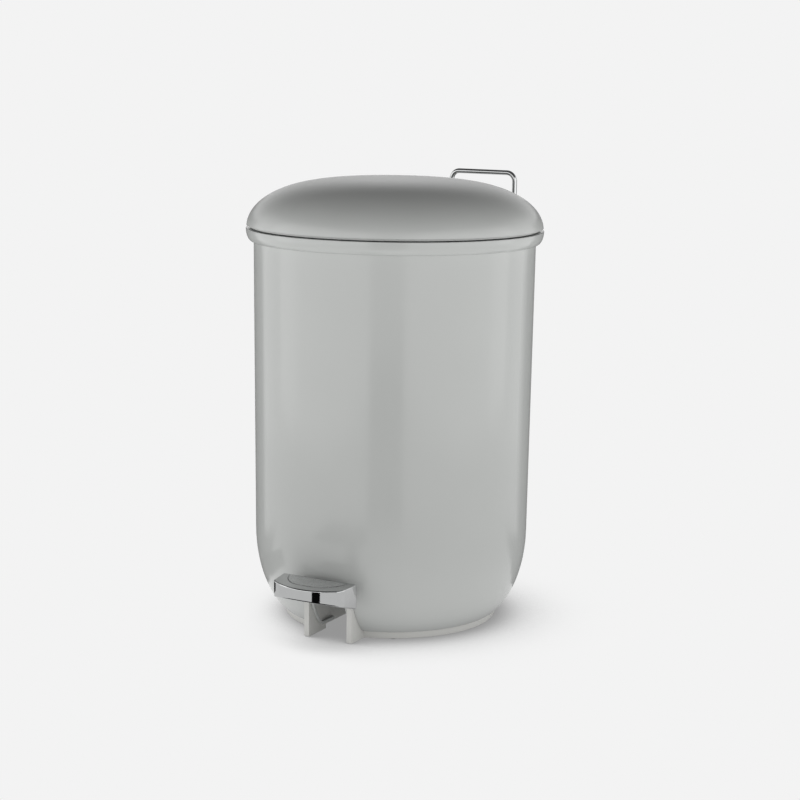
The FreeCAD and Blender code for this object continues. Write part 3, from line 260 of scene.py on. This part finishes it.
def between(tree, factor, low, high):
    """A value that runs from low to high over the range in which noise mostly lies."""
    ends = [("From Min", NOISE_LOW), ("From Max", NOISE_HIGH), ("To Min", low), ("To Max", high)]
    return add(tree, "ShaderNodeMapRange", [("Value", factor)], ends).outputs["Result"]


def shades(tree, factor, low, high):
    """A colour that runs between two hex colours."""
    node = add(tree, "ShaderNodeMix", [("Factor", factor)], data_type="RGBA")
    colours = [socket for socket in node.inputs if socket.type == "RGBA"]
    colours[0].default_value = linear(low)
    colours[1].default_value = linear(high)
    return [socket for socket in node.outputs if socket.type == "RGBA"][0]


def bump(tree, height, depth_mm, normal=None):
    """A bump as deep as depth_mm, on top of another one if given."""
    links = [("Height", height)] + ([("Normal", normal)] if normal else [])
    return add(tree, "ShaderNodeBump", links, [("Distance", depth_mm * MM)]).outputs["Normal"]


def finish_material(tree, output, colour, rough, normal, **constants):
    """The shader: colour, roughness and normal from nodes, everything else set on its own socket."""
    shader = add(tree, "ShaderNodeBsdfPrincipled",
                 [("Base Color", colour), ("Roughness", rough), ("Normal", normal)], constants.items())
    tree.links.new(output.inputs["Surface"], shader.outputs["BSDF"])


def moulded_plastic(name, dark, light, rough, grain_mm=GRAIN_SIZE, grain_depth=GRAIN_DEPTH):
    """Injection-moulded plastic: polypropylene, or acetal or nylon, whose refractive index is close to it.

    The steel mould's spark-eroded grain leaves a soft satin, and the melt's flow leaves a faint
    cloudiness some 60 mm across. The real grain is about 0.1 mm, drawn coarser so that it shows.
    """
    material, tree, output = new_material(name)
    space = texture_space(tree)
    cloud = noise(tree, space, CLOUD_SIZE, 1.0)
    grain = noise(tree, space, grain_mm, 3.0)
    normal = bump(tree, grain, grain_depth)
    finish_material(tree, output, shades(tree, cloud, dark, light),
                    between(tree, grain, rough - GRAIN_SPREAD, rough + GRAIN_SPREAD), normal, IOR=PLASTIC_IOR)
    return material


def chrome_plate(name, rough, wave_mm):
    """Bright chrome plating: a mirror with the faint waviness of what it was plated on."""
    material, tree, output = new_material(name)
    space = texture_space(tree)
    wave = noise(tree, space, wave_mm, 1.0)
    haze = noise(tree, space, CHROME_HAZE_SIZE)
    finish_material(tree, output, shades(tree, haze, CHROME_DARK, CHROME_LIGHT),
                    between(tree, haze, rough - CHROME_SMOOTHER, rough + CHROME_ROUGHER),
                    bump(tree, wave, CHROME_WAVE_DEPTH), Metallic=1.0)
    return material


def brushed_plate(name):
    """Chrome plate brushed along X, which leaves fine lines, drawn 0.5 mm apart so that they show."""
    material, tree, output = new_material(name)
    space = texture_space(tree, (BRUSH_STRETCH, 1.0, 1.0))
    lines = noise(tree, space, BRUSH_SPACING)
    finish_material(tree, output, shades(tree, lines, BRUSHED_DARK, BRUSHED_LIGHT),
                    between(tree, lines, *BRUSH_ROUGH), bump(tree, lines, BRUSH_DEPTH), Metallic=1.0)
    return material


def coated_steel(name, dark, light, rough):
    """Steel that is zinc-plated in a barrel, or phosphated, which leaves soft blotches and tumbling marks."""
    material, tree, output = new_material(name)
    space = texture_space(tree)
    blotch = noise(tree, space, BLOTCH_SIZE)
    scratch = noise(tree, texture_space(tree, (1.0, 1.0, SCRATCH_STRETCH)), SCRATCH_SIZE)
    finish_material(tree, output, shades(tree, blotch, dark, light),
                    between(tree, blotch, rough - BLOTCH_SMOOTHER, rough + BLOTCH_ROUGHER),
                    bump(tree, scratch, SCRATCH_DEPTH), Metallic=1.0)
    return material


def vulcanised_rubber(name):
    """Moulded rubber: nearly matt black, with a powdery bloom in spots of about 1 mm."""
    material, tree, output = new_material(name)
    bloom = noise(tree, texture_space(tree), BLOOM_SIZE, 4.0)
    finish_material(tree, output, shades(tree, bloom, RUBBER_DARK, RUBBER_LIGHT),
                    between(tree, bloom, *BLOOM_ROUGH), bump(tree, bloom, BLOOM_DEPTH), IOR=RUBBER_IOR)
    return material


body_plastic = moulded_plastic("satin_moulded_polypropylene_body", "#B6B8B6", "#B9BBB9", 0.17)
rim_plastic = moulded_plastic("satin_moulded_polypropylene_rim", "#B6B8B6", "#B9BBB9", 0.15)
# The lid is the body's plastic, given a lighter colour as painted light, so that its dimly lit top reads
# brighter.
lid_plastic_painted_lighter = moulded_plastic("satin_moulded_polypropylene_lid_painted_lighter", "#BCBEBC", "#C0C2C0", 0.24)
base_plastic = moulded_plastic("textured_moulded_polypropylene_base", "#CACAC6", "#CECECB", 0.40,
                               grain_depth=0.002)
bucket_plastic = moulded_plastic("moulded_polypropylene_bucket", "#55585A", "#5E6163", 0.34, 1.5, 0.01)
acetal = moulded_plastic("moulded_acetal", "#E2E1DA", "#EAE9E3", 0.30)
nylon = moulded_plastic("moulded_nylon", "#2C2D2F", "#343537", 0.42, 0.9, 0.02)
chrome_cap = chrome_plate("chrome_plated_abs", 0.05, 12)
chrome_wire = chrome_plate("chrome_plated_drawn_steel_wire", 0.07, 3)
inset_plate = brushed_plate("brushed_chrome_plated_abs")
zinc = coated_steel("zinc_plated_steel", "#A9ABAD", "#B9BABA", 0.34)
pressed_steel = coated_steel("zinc_plated_pressed_steel", "#A2A4A5", "#B0B2B2", 0.42)
spring_steel = coated_steel("phosphated_spring_steel", "#3B3A38", "#4A4947", 0.46)
rubber = vulcanised_rubber("vulcanised_rubber")

paint(["outer_shell", "hinge_bracket"], body_plastic)
paint(["rim_collar"], rim_plastic)
# The lid and its arm take the body's plastic painted lighter: painted light on the lid's top.
paint(["lid_shell", "lid_arm"], lid_plastic_painted_lighter)
paint(["base_plate"], base_plastic)
paint(["inner_bucket"], bucket_plastic)
paint(["pivot_bushes", "rod_head", "lower_rod_guide", "upper_rod_guide"], acetal)
paint(["bail_grip", "handle_ferrules"], nylon)
paint(["pedal_cap"], chrome_cap)
paint(["carry_handle", "bucket_bail"], chrome_wire)
paint(["pedal_inset"], inset_plate)
paint(["lift_rod", "hinge_pin", "pedal_pivot_pin", "lid_arm_pin"], zinc)
paint(["base_screws", "bracket_screws", "pedal_screws", "lid_arm_screws"], zinc)
paint(["pedal_lever"], pressed_steel)
paint(["pivot_pin_clips"], spring_steel)
paint(["foot_pads", "rim_bumpers", "lever_stop_pad"], rubber)


# Pieces, modelled with Blender's own tools. Sizes are given in millimetres and turned to metres here.


def begin(name, add_primitive, **options):
    """Add a primitive with nothing else selected, and open it for editing."""
    bpy.ops.object.select_all(action="DESELECT")
    add_primitive(**options)
    piece = bpy.context.object
    piece.name = name
    bpy.ops.object.mode_set(mode="EDIT")
    return piece


def pick(piece, kind, wanted):
    """Select only the faces or edges whose centre and normal the test accepts."""
    bpy.ops.mesh.select_mode(type="FACE" if kind == "faces" else "EDGE")
    bpy.ops.mesh.select_all(action="DESELECT")
    mesh = bmesh.from_edit_mesh(piece.data)
    place = piece.matrix_world
    for part in getattr(mesh, kind):
        if kind == "faces":
            centre, normal = part.calc_center_median(), part.normal
        else:
            centre = (part.verts[0].co + part.verts[1].co) / 2
            normal = (part.verts[1].co - part.verts[0].co).normalized()
        if wanted(place @ centre / MM, place.to_3x3() @ normal):
            part.select_set(True)
    mesh.select_flush_mode()
    bmesh.update_edit_mesh(piece.data)


def push(distance, direction=(0, 0, 1)):
    """Extrude the picked faces by this many millimetres."""
    step = [distance * MM * part for part in direction]
    bpy.ops.mesh.extrude_region_move(TRANSFORM_OT_translate={"value": step})


def draw_in(share, centre, along=(True, True, False)):
    """Scale what is picked about a centre in millimetres, along the axes that are named."""
    scale = [share if axis else 1.0 for axis in along]
    bpy.ops.transform.resize(value=scale, center_override=[part * MM for part in centre])


def apply_modifiers(piece):
    """Turn every modifier of the piece into mesh."""
    bpy.ops.object.select_all(action="DESELECT")
    bpy.context.view_layer.objects.active = piece
    piece.select_set(True)
    for modifier in list(piece.modifiers):
        bpy.ops.object.modifier_apply(modifier=modifier.name)


def boolean(piece, tool, operation):
    """Combine a piece with a tool that is then thrown away."""
    modifier = piece.modifiers.new(operation.lower(), "BOOLEAN")
    modifier.object = tool
    modifier.operation = operation
    modifier.solver = "EXACT"
    apply_modifiers(piece)
    bpy.data.objects.remove(tool)


def settle(piece, sharp_degrees=SHARP_DEGREES):
    """Leave the piece at the origin with its place in its mesh, closed, facing outwards and smooth."""
    bpy.ops.object.select_all(action="DESELECT")
    bpy.context.view_layer.objects.active = piece
    piece.select_set(True)
    bpy.ops.object.transform_apply(location=True, rotation=True, scale=True)
    bpy.ops.object.mode_set(mode="EDIT")
    bpy.ops.mesh.select_all(action="SELECT")
    bpy.ops.mesh.remove_doubles(threshold=WELD * MM)
    bpy.ops.mesh.normals_make_consistent(inside=False)
    bpy.ops.object.mode_set(mode="OBJECT")
    bpy.ops.object.shade_smooth_by_angle(angle=math.radians(sharp_degrees))


def copies(piece, places):
    """Stand a copy at each place, join them and keep the first one's name."""
    made = []
    for place in places:
        twin = piece.copy()
        twin.data = piece.data.copy()
        scene.collection.objects.link(twin)
        twin.matrix_world = place @ piece.matrix_world
        made.append(twin)
    name = piece.name
    bpy.data.objects.remove(piece)
    bpy.ops.object.select_all(action="DESELECT")
    for twin in made:
        twin.select_set(True)
    bpy.context.view_layer.objects.active = made[0]
    bpy.ops.object.join()
    made[0].name = name
    return made[0]


def stand_for(piece, body, slot, material, *nodes):
    """Say what the finished piece rides on, what it is made of and which CAD nodes it stands for."""
    piece.data.materials.clear()
    piece.data.materials.append(material)
    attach(piece, body)
    if nodes:
        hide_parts(*nodes)


def cross_cutter(turned):
    """One arm of the cross recess in a screw's face at z = 0, narrower at its foot."""
    size = (2 * CROSS_REACH * MM, CROSS_WIDTH * MM, 2 * CROSS_DEPTH * MM)
    tool = begin("cross_cutter", bpy.ops.mesh.primitive_cube_add, size=1, location=(0, 0, 0))
    bpy.ops.transform.resize(value=size, center_override=(0, 0, 0))
    pick(tool, "faces", lambda centre, normal: normal.z > FACING)
    draw_in(CROSS_FOOT_SHARE, (0, 0, 0))
    bpy.ops.object.mode_set(mode="OBJECT")
    if turned:
        tool.rotation_euler.z = math.pi / 2
    bpy.context.view_layer.update()
    return tool


def model_screw(name, head_height, length):
    """A screw with its head's face at z = 0 and its shank upwards: pan head, cross recess, thread and tip.

    The thread is drawn as closed rings, one for each turn, and not as a helix.
    """
    screw = begin(name, bpy.ops.mesh.primitive_cylinder_add, vertices=HEAD_SIDES, radius=HEAD_RADIUS * MM,
                  depth=head_height * MM, location=(0, 0, head_height * MM / 2))
    rim = HEAD_RADIUS - RIM_SLACK
    pick(screw, "edges", lambda centre, run: centre.z < TOUCHING and centre.xy.length > rim)
    bpy.ops.mesh.bevel(offset=HEAD_ROUND * MM, segments=HEAD_STEPS, affect="EDGES")
    pick(screw, "faces", lambda centre, normal: normal.z > FACING and centre.z > head_height - TOUCHING)
    bpy.ops.mesh.inset(thickness=(HEAD_RADIUS - CORE_RADIUS) * MM)
    reached = head_height
    for _ in range(int((length - head_height - SCREW_TIP) / THREAD_PITCH)):
        for rise, share in THREAD_TURN:
            push(rise * THREAD_PITCH)
            reached += rise * THREAD_PITCH
            draw_in(share, (0, 0, reached))
    push(length - SCREW_TIP / 2 - reached)
    push(SCREW_TIP / 2)
    draw_in(TIP_SHARE, (0, 0, length))
    bpy.ops.object.mode_set(mode="OBJECT")
    for turned in (False, True):
        boolean(screw, cross_cutter(turned), "DIFFERENCE")
    return screw


def at(x, y, z, turn=0.0):
    """A place in millimetres, turned about X by this many degrees."""
    return Matrix.Translation(Vector((x, y, z)) * MM) @ Matrix.Rotation(math.radians(turn), 4, "X")


def make_screws():
    """The four sets of screws, each in the place of the CAD's plain ones."""
    sets = []
    round_base = []
    for angle in BASE_SCREW_ANGLES:
        turn = math.radians(angle)
        round_base.append((BASE_SCREW_CIRCLE * math.cos(turn), BASE_SCREW_CIRCLE * math.sin(turn)))
    sets.append(("base_screws", "shell", round_base))
    sets.append(("pedal_screws", "pedal", [(0, y) for y in PEDAL_SCREW_PLACES]))
    sets.append(("lid_arm_screws", "lid", [(0, y) for y in LID_SCREW_PLACES]))
    for node, body, spots in sets:
        low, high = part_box(node)
        head = low[2] / MM
        screw = model_screw("cross_recess_" + node, HEAD_HEIGHT, high[2] / MM - head)
        screw = copies(screw, [at(x, y, head) for x, y in spots])
        settle(screw)
        stand_for(screw, body, "zinc_steel", zinc, node)
    low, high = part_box("bracket_screws")
    height = (low[2] + high[2]) / 2 / MM
    screw = model_screw("cross_recess_bracket_screws", BRACKET_HEAD_HEIGHT, (high[1] - low[1]) / MM)
    screw = copies(screw, [at(side * BRACKET_SCREW_HALF, low[1] / MM, height, -90) for side in (-1, 1)])
    settle(screw)
    stand_for(screw, "shell", "zinc_steel", zinc, "bracket_screws")


def make_grip():
    """The bail's moulded sleeve, with shallow grooves round it and rounded ends."""
    first = math.radians(-90 - GRIP_SWEEP / 2)
    start = (GRIP_ARC * math.cos(first), GRIP_ARC * math.sin(first) + GRIP_OFFSET, GRIP_HEIGHT)
    grip = begin("grooved_bail_grip", bpy.ops.mesh.primitive_circle_add, vertices=GRIP_SIDES,
                 radius=GRIP_RADIUS * MM, fill_type="NGON", location=[part * MM for part in start],
                 rotation=(math.pi / 2, 0, first))
    bpy.ops.mesh.select_mode(type="FACE")
    bpy.ops.mesh.select_all(action="SELECT")
    centre = (0, GRIP_OFFSET * MM, GRIP_HEIGHT * MM)
    step = math.radians(GRIP_SWEEP) / (GRIP_GROOVES * GROOVE_RINGS)
    deep = 1 - GRIP_GROOVE / GRIP_RADIUS
    turn = first
    for i in range(GRIP_GROOVES * GROOVE_RINGS):
        bpy.ops.mesh.extrude_region_move(TRANSFORM_OT_translate={"value": (0, 0, 0)})
        bpy.ops.transform.rotate(value=-step, orient_axis="Z", center_override=centre)
        turn += step
        here = (GRIP_ARC * math.cos(turn), GRIP_ARC * math.sin(turn) + GRIP_OFFSET, GRIP_HEIGHT)
        share = {0: deep, 2: 1 / deep}.get(i % GROOVE_RINGS, 1.0)
        draw_in(share, here, (True, True, True))
    pick(grip, "faces", lambda centre, normal: is_grip_end(centre))
    bpy.ops.mesh.inset(thickness=GRIP_END_INSET * MM, depth=GRIP_END_BULGE * MM)
    bpy.ops.object.mode_set(mode="OBJECT")
    settle(grip, GRIP_SHARP_DEGREES)
    stand_for(grip, "bail", "dark_nylon", nylon, "bail_grip")


def is_grip_end(centre):
    """Whether a face closes one end of the grip: a flat across the wire at either end of its sweep."""
    angle = math.degrees(math.atan2(centre.y - GRIP_OFFSET, centre.x)) + 90
    reach = math.hypot(centre.x, centre.y - GRIP_OFFSET)
    return abs(abs(angle) - GRIP_SWEEP / 2) < TOUCHING and abs(reach - GRIP_ARC) < TOUCHING


def cutter(name, add_primitive, place, extent, **options):
    """A throwaway tool of this size at this place, both in millimetres."""
    bpy.ops.object.select_all(action="DESELECT")
    add_primitive(location=[part * MM for part in place], **options)
    tool = bpy.context.object
    tool.name = name
    tool.scale = [part * MM for part in extent]
    bpy.context.view_layer.update()
    return tool


def make_clips():
    """A pressed E-clip on each end of the pedal's pin: three lugs, an open mouth and rounded edges."""
    low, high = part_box("pivot_pin_clips")
    centre = (low + high) / 2 / MM
    radius = (high.z - low.z) / 2 / MM
    middle = high.x / MM - CLIP_SHEET / 2
    add_cylinder = bpy.ops.mesh.primitive_cylinder_add
    along_pin = (0, math.pi / 2, 0)
    clip = begin("pressed_pivot_clips", add_cylinder, vertices=CLIP_SIDES, radius=radius * MM,
                 depth=CLIP_SHEET * MM, location=(middle * MM, centre.y * MM, centre.z * MM),
                 rotation=along_pin)
    bpy.ops.object.mode_set(mode="OBJECT")
    round_tools = [(0, 0, CLIP_BORE)]
    round_tools += [(side * CLIP_NOTCH_OUT, CLIP_NOTCH_UP, CLIP_NOTCH) for side in (-1, 1)]
    for aside, up, bore in round_tools:
        spot = (middle, centre.y + aside, centre.z + up)
        tool = cutter("round_cutter", add_cylinder, spot, (bore, bore, CLIP_TOOL_DEPTH),
                      vertices=CLIP_BORE_SIDES, radius=1, depth=1, rotation=along_pin)
        boolean(clip, tool, "DIFFERENCE")
    spot = (middle, centre.y, centre.z - radius)
    size = (CLIP_TOOL_DEPTH, CLIP_MOUTH, 2 * radius)
    boolean(clip, cutter("mouth_cutter", bpy.ops.mesh.primitive_cube_add, spot, size, size=1), "DIFFERENCE")
    bevel = clip.modifiers.new("edges", "BEVEL")
    bevel.width = CLIP_EDGE * MM
    bevel.segments = CLIP_EDGE_STEPS
    bevel.limit_method = "ANGLE"
    apply_modifiers(clip)
    clip = copies(clip, [at(0, 0, 0), at(-2 * middle, 0, 0)])
    settle(clip)
    stand_for(clip, "shell", "spring_steel", spring_steel, "pivot_pin_clips")


def dome_underside(reach):
    """The height of the lid's inner skin at this distance from its axis, in millimetres."""
    share = (reach / LID_INNER_RADIUS) ** (LID_POWER / 2)
    return LID_BASE + LID_INNER_RISE * math.sqrt(1 - share ** 2)


def make_lid_ribs():
    """Moulded stiffening under the lid: a round hub, and ribs of one depth that follow the dome outwards."""
    step = (RIB_LENGTH - HUB_RADIUS) / RIB_STEPS
    middle = dome_underside(HUB_RADIUS) + RIB_SINK - RIB_DEPTH / 2
    reach = HUB_RADIUS + step
    spot = (0, (step / 2 - reach) * MM, middle * MM)
    rib = begin("lid_stiffening_ribs", bpy.ops.mesh.primitive_cube_add, size=1, location=spot)
    bpy.ops.transform.resize(value=(RIB_THICK * MM, step * MM, RIB_DEPTH * MM), center_override=spot)
    for _ in range(RIB_STEPS - 1):
        end = RIB_END_SLACK - reach
        pick(rib, "faces", lambda centre, normal: normal.y < -RIB_END_FACING and centre.y < end)
        push(1, (0, -step, dome_underside(reach + step) - dome_underside(reach)))
        reach += step
    bpy.ops.object.mode_set(mode="OBJECT")
    turns = [Matrix.Rotation(2 * math.pi * (i + 0.5) / RIB_COUNT, 4, "Z") for i in range(RIB_COUNT)]
    ribs = copies(rib, turns)
    add_cylinder = bpy.ops.mesh.primitive_cylinder_add
    hub = begin("lid_hub", add_cylinder, vertices=HUB_SIDES, radius=(HUB_RADIUS + RIB_THICK / 2) * MM,
                depth=RIB_DEPTH * MM, location=(0, 0, middle * MM))
    bpy.ops.object.mode_set(mode="OBJECT")
    inner = HUB_RADIUS - RIB_THICK / 2
    tool = cutter("hub_cutter", add_cylinder, (0, 0, middle), (inner, inner, HUB_TOOL_HEIGHT),
                  vertices=HUB_SIDES, radius=1, depth=1)
    boolean(hub, tool, "DIFFERENCE")
    boolean(ribs, hub, "UNION")
    settle(ribs)
    stand_for(ribs, "lid", "grey_lid", lid_plastic_painted_lighter)


make_screws()
make_grip()
make_clips()
make_lid_ribs()


# Studio.


def make_floor():
    """A white floor whose own glow stands for light from all round, most of it from the left.

    The can dims the glow where it hides that light, a painted shadow worked out by ambient occlusion, so the
    shadow leans to the right.
    """
    bpy.ops.object.select_all(action="DESELECT")
    bpy.ops.mesh.primitive_circle_add(vertices=FLOOR_SIDES, radius=FLOOR_RADIUS, fill_type="NGON",
                                      location=(0, 0, 0))
    floor = bpy.context.object
    floor.name = "studio_floor"
    material, tree, output = new_material("glowing_floor_painted_shadow")
    right = round_the_can(CAMERA_AZIMUTH + 90, 1, 0)
    lean = add(tree, "ShaderNodeVectorMath", operation="NORMALIZE")
    lean.inputs[0].default_value = (-SHADOW_LEAN * right.x, -SHADOW_LEAN * right.y, 1)
    seen = add(tree, "ShaderNodeAmbientOcclusion", [("Normal", lean.outputs["Vector"])],
               [("Distance", SHADOW_REACH)], samples=SHADOW_SAMPLES)
    # Painted shadow: the floor's glow runs from the shadow grey to the backdrop white with how open the floor
    # is round each point.
    open_share = add(tree, "ShaderNodeMapRange", [("Value", seen.outputs["AO"])],
                     [("From Min", SHADOW_FULL), ("From Max", SHADOW_NONE)], interpolation_type="SMOOTHSTEP")
    glow = add(tree, "ShaderNodeMixRGB", [("Fac", open_share.outputs["Result"])])
    glow.inputs["Color1"].default_value = linear(SHADOW)
    glow.inputs["Color2"].default_value = linear(BACKDROP)
    light = add(tree, "ShaderNodeEmission", [("Color", glow.outputs["Color"])])
    tree.links.new(output.inputs["Surface"], light.outputs["Emission"])
    floor.data.materials.append(material)


def make_world():
    """The camera sees an even backdrop; the object sees it too, up to where the dim ceiling starts."""
    world = bpy.data.worlds.new("studio")
    scene.world = world
    world.use_nodes = True
    tree = world.node_tree
    tree.nodes.clear()
    output = tree.nodes.new("ShaderNodeOutputWorld")
    path = add(tree, "ShaderNodeLightPath").outputs
    direction = add(tree, "ShaderNodeTexCoord").outputs["Generated"]
    height = add(tree, "ShaderNodeSeparateXYZ", [("Vector", direction)]).outputs["Z"]
    ceiling = add(tree, "ShaderNodeMapRange", [("Value", height)],
                  [("From Min", WALL_TOP), ("From Max", CEILING_START)], interpolation_type="SMOOTHSTEP")
    tone = add(tree, "ShaderNodeMixRGB", [("Fac", ceiling.outputs["Result"])])
    tone.inputs["Color1"].default_value = linear(BACKDROP)
    tone.inputs["Color2"].default_value = linear(CEILING)
    mirrored = add(tree, "ShaderNodeMath", [(0, path["Is Glossy Ray"]), (1, path["Is Transmission Ray"])],
                   operation="MAXIMUM")
    strength = add(tree, "ShaderNodeMapRange", [("Value", mirrored.outputs[0])], [("To Min", FILL)])
    room = add(tree, "ShaderNodeBackground",
               [("Color", tone.outputs["Color"]), ("Strength", strength.outputs[0])])
    back = add(tree, "ShaderNodeBackground", sockets=[("Color", linear(BACKDROP))])
    seen = add(tree, "ShaderNodeMixShader", [
        (0, path["Is Camera Ray"]), (1, room.outputs["Background"]), (2, back.outputs["Background"])])
    tree.links.new(output.inputs["Surface"], seen.outputs["Shader"])


def aim(thing, place, target, roll=0.0):
    """Stand a camera or lamp at place, looking at target, and roll it about its own line of sight."""
    away = (Vector(place) - Vector(target)).normalized()
    right = Vector((0, 0, 1)).cross(away).normalized()
    up = away.cross(right)
    tilted_right = right * math.cos(roll) + up * math.sin(roll)
    tilted_up = away.cross(tilted_right)
    turn = Matrix((tilted_right, tilted_up, away)).transposed().to_4x4()
    thing.matrix_world = Matrix.Translation(Vector(place)) @ turn


def round_the_can(azimuth, reach, height):
    """The point at this azimuth, reach and height."""
    turn = math.radians(azimuth)
    return Vector((reach * math.sin(turn), -reach * math.cos(turn), height))


def soft_box(name, azimuths, radiance):
    """A soft box beside the camera that spans these azimuths, with this radiance."""
    middle = sum(azimuths) / 2
    width = 2 * BOX_REACH * math.tan(math.radians(azimuths[1] - azimuths[0]) / 2)
    tall = BOX_HIGH - BOX_LOW
    light = bpy.data.lights.new(name, "AREA")
    light.shape = "RECTANGLE"
    light.size = width
    light.size_y = tall
    light.energy = radiance * math.pi * width * tall
    lamp = bpy.data.objects.new(name, light)
    scene.collection.objects.link(lamp)
    height = (BOX_HIGH + BOX_LOW) / 2
    aim(lamp, round_the_can(CAMERA_AZIMUTH + middle, BOX_REACH, height), (0, 0, height))


def flag(name, corners, shade=BLACK_FELT):
    """A flat felt card with these four corners in metres, which only glossy reflections show.

    Its shade is a weak emission, so that no lamp changes it.
    """
    bpy.ops.object.select_all(action="DESELECT")
    bpy.ops.mesh.primitive_plane_add(size=1, location=(0, 0, 0))
    card = bpy.context.object
    card.name = name
    for vertex, corner in zip(card.data.vertices, corners):
        vertex.co = corner
    material, tree, output = new_material(name + "_felt")
    felt = add(tree, "ShaderNodeEmission", sockets=[("Color", linear(shade))])
    tree.links.new(output.inputs["Surface"], felt.outputs["Emission"])
    card.data.materials.append(material)
    card.visible_camera = False
    card.visible_diffuse = False
    card.visible_shadow = False


def upright(ends, low, high):
    """The corners of an upright card over two points of the floor, between two heights."""
    return [(x, y, height) for height in (low, high) for x, y in ends]


def lying(first, last, near, far):
    """The corners of a card that lies on the floor between two azimuths from the camera's."""
    return [(x, y, MM) for reach in (near, far) for x, y in arc_ends(first, last, reach)]


def level_card(x, y, height):
    """The corners of a level card between these limits."""
    return [(across, along, height) for along in y for across in x]


def arc_ends(first, last, reach):
    """The floor points at two azimuths from the camera's, at this reach."""
    return [round_the_can(CAMERA_AZIMUTH + azimuth, reach, 0)[:2] for azimuth in (first, last)]


def make_camera():
    """The camera in front of the can and to its right."""
    camera = bpy.data.objects.new("camera", bpy.data.cameras.new("camera"))
    camera.data.lens = CAMERA_LENS
    camera.data.sensor_width = SENSOR_WIDTH
    scene.collection.objects.link(camera)
    aim(camera, round_the_can(CAMERA_AZIMUTH, CAMERA_REACH, CAMERA_HEIGHT), CAMERA_TARGET, CAMERA_ROLL)
    scene.camera = camera


make_floor()
make_world()
soft_box("left_soft_box", LEFT_BOX, BOX_RADIANCE)
soft_box("right_soft_box", RIGHT_BOX, BOX_RADIANCE)
soft_box("left_side_box", LEFT_SIDE_BOX, SIDE_RADIANCE)
soft_box("right_side_box", RIGHT_SIDE_BOX, SIDE_RADIANCE)
flag("left_back_flag", upright(arc_ends(*LEFT_BACK_CARD, BACK_CARD_REACH), 0, BACK_CARD_TOP), GREY_FELT)
flag("right_back_flag", upright(arc_ends(*RIGHT_BACK_CARD, BACK_CARD_REACH), 0, BACK_CARD_TOP), GREY_FELT)
flag("pedal_stripe_flag", upright(STRIPE_CARD_ENDS, 0, STRIPE_CARD_TOP))
flag("pedal_left_flag", upright(PEDAL_LEFT_ENDS, *PEDAL_LEFT_HEIGHTS))
flag("pedal_top_flag", level_card(*PEDAL_TOP_LIMITS, PEDAL_TOP_HEIGHT))
flag("pedal_low_flag", level_card(*PEDAL_LOW_LIMITS, PEDAL_LOW_HEIGHT))
flag("gap_between_boxes", lying(LEFT_BOX[1], RIGHT_BOX[0], *GAP_CARD_REACHES))
flag("left_floor_flag", lying(*LEFT_FLOOR_CARD, *FLOOR_CARD_REACHES), GREY_FELT)
flag("right_floor_flag", lying(*RIGHT_FLOOR_CARD, *FLOOR_CARD_REACHES), GREY_FELT)
make_camera()
scene.view_settings.view_transform = "Standard"
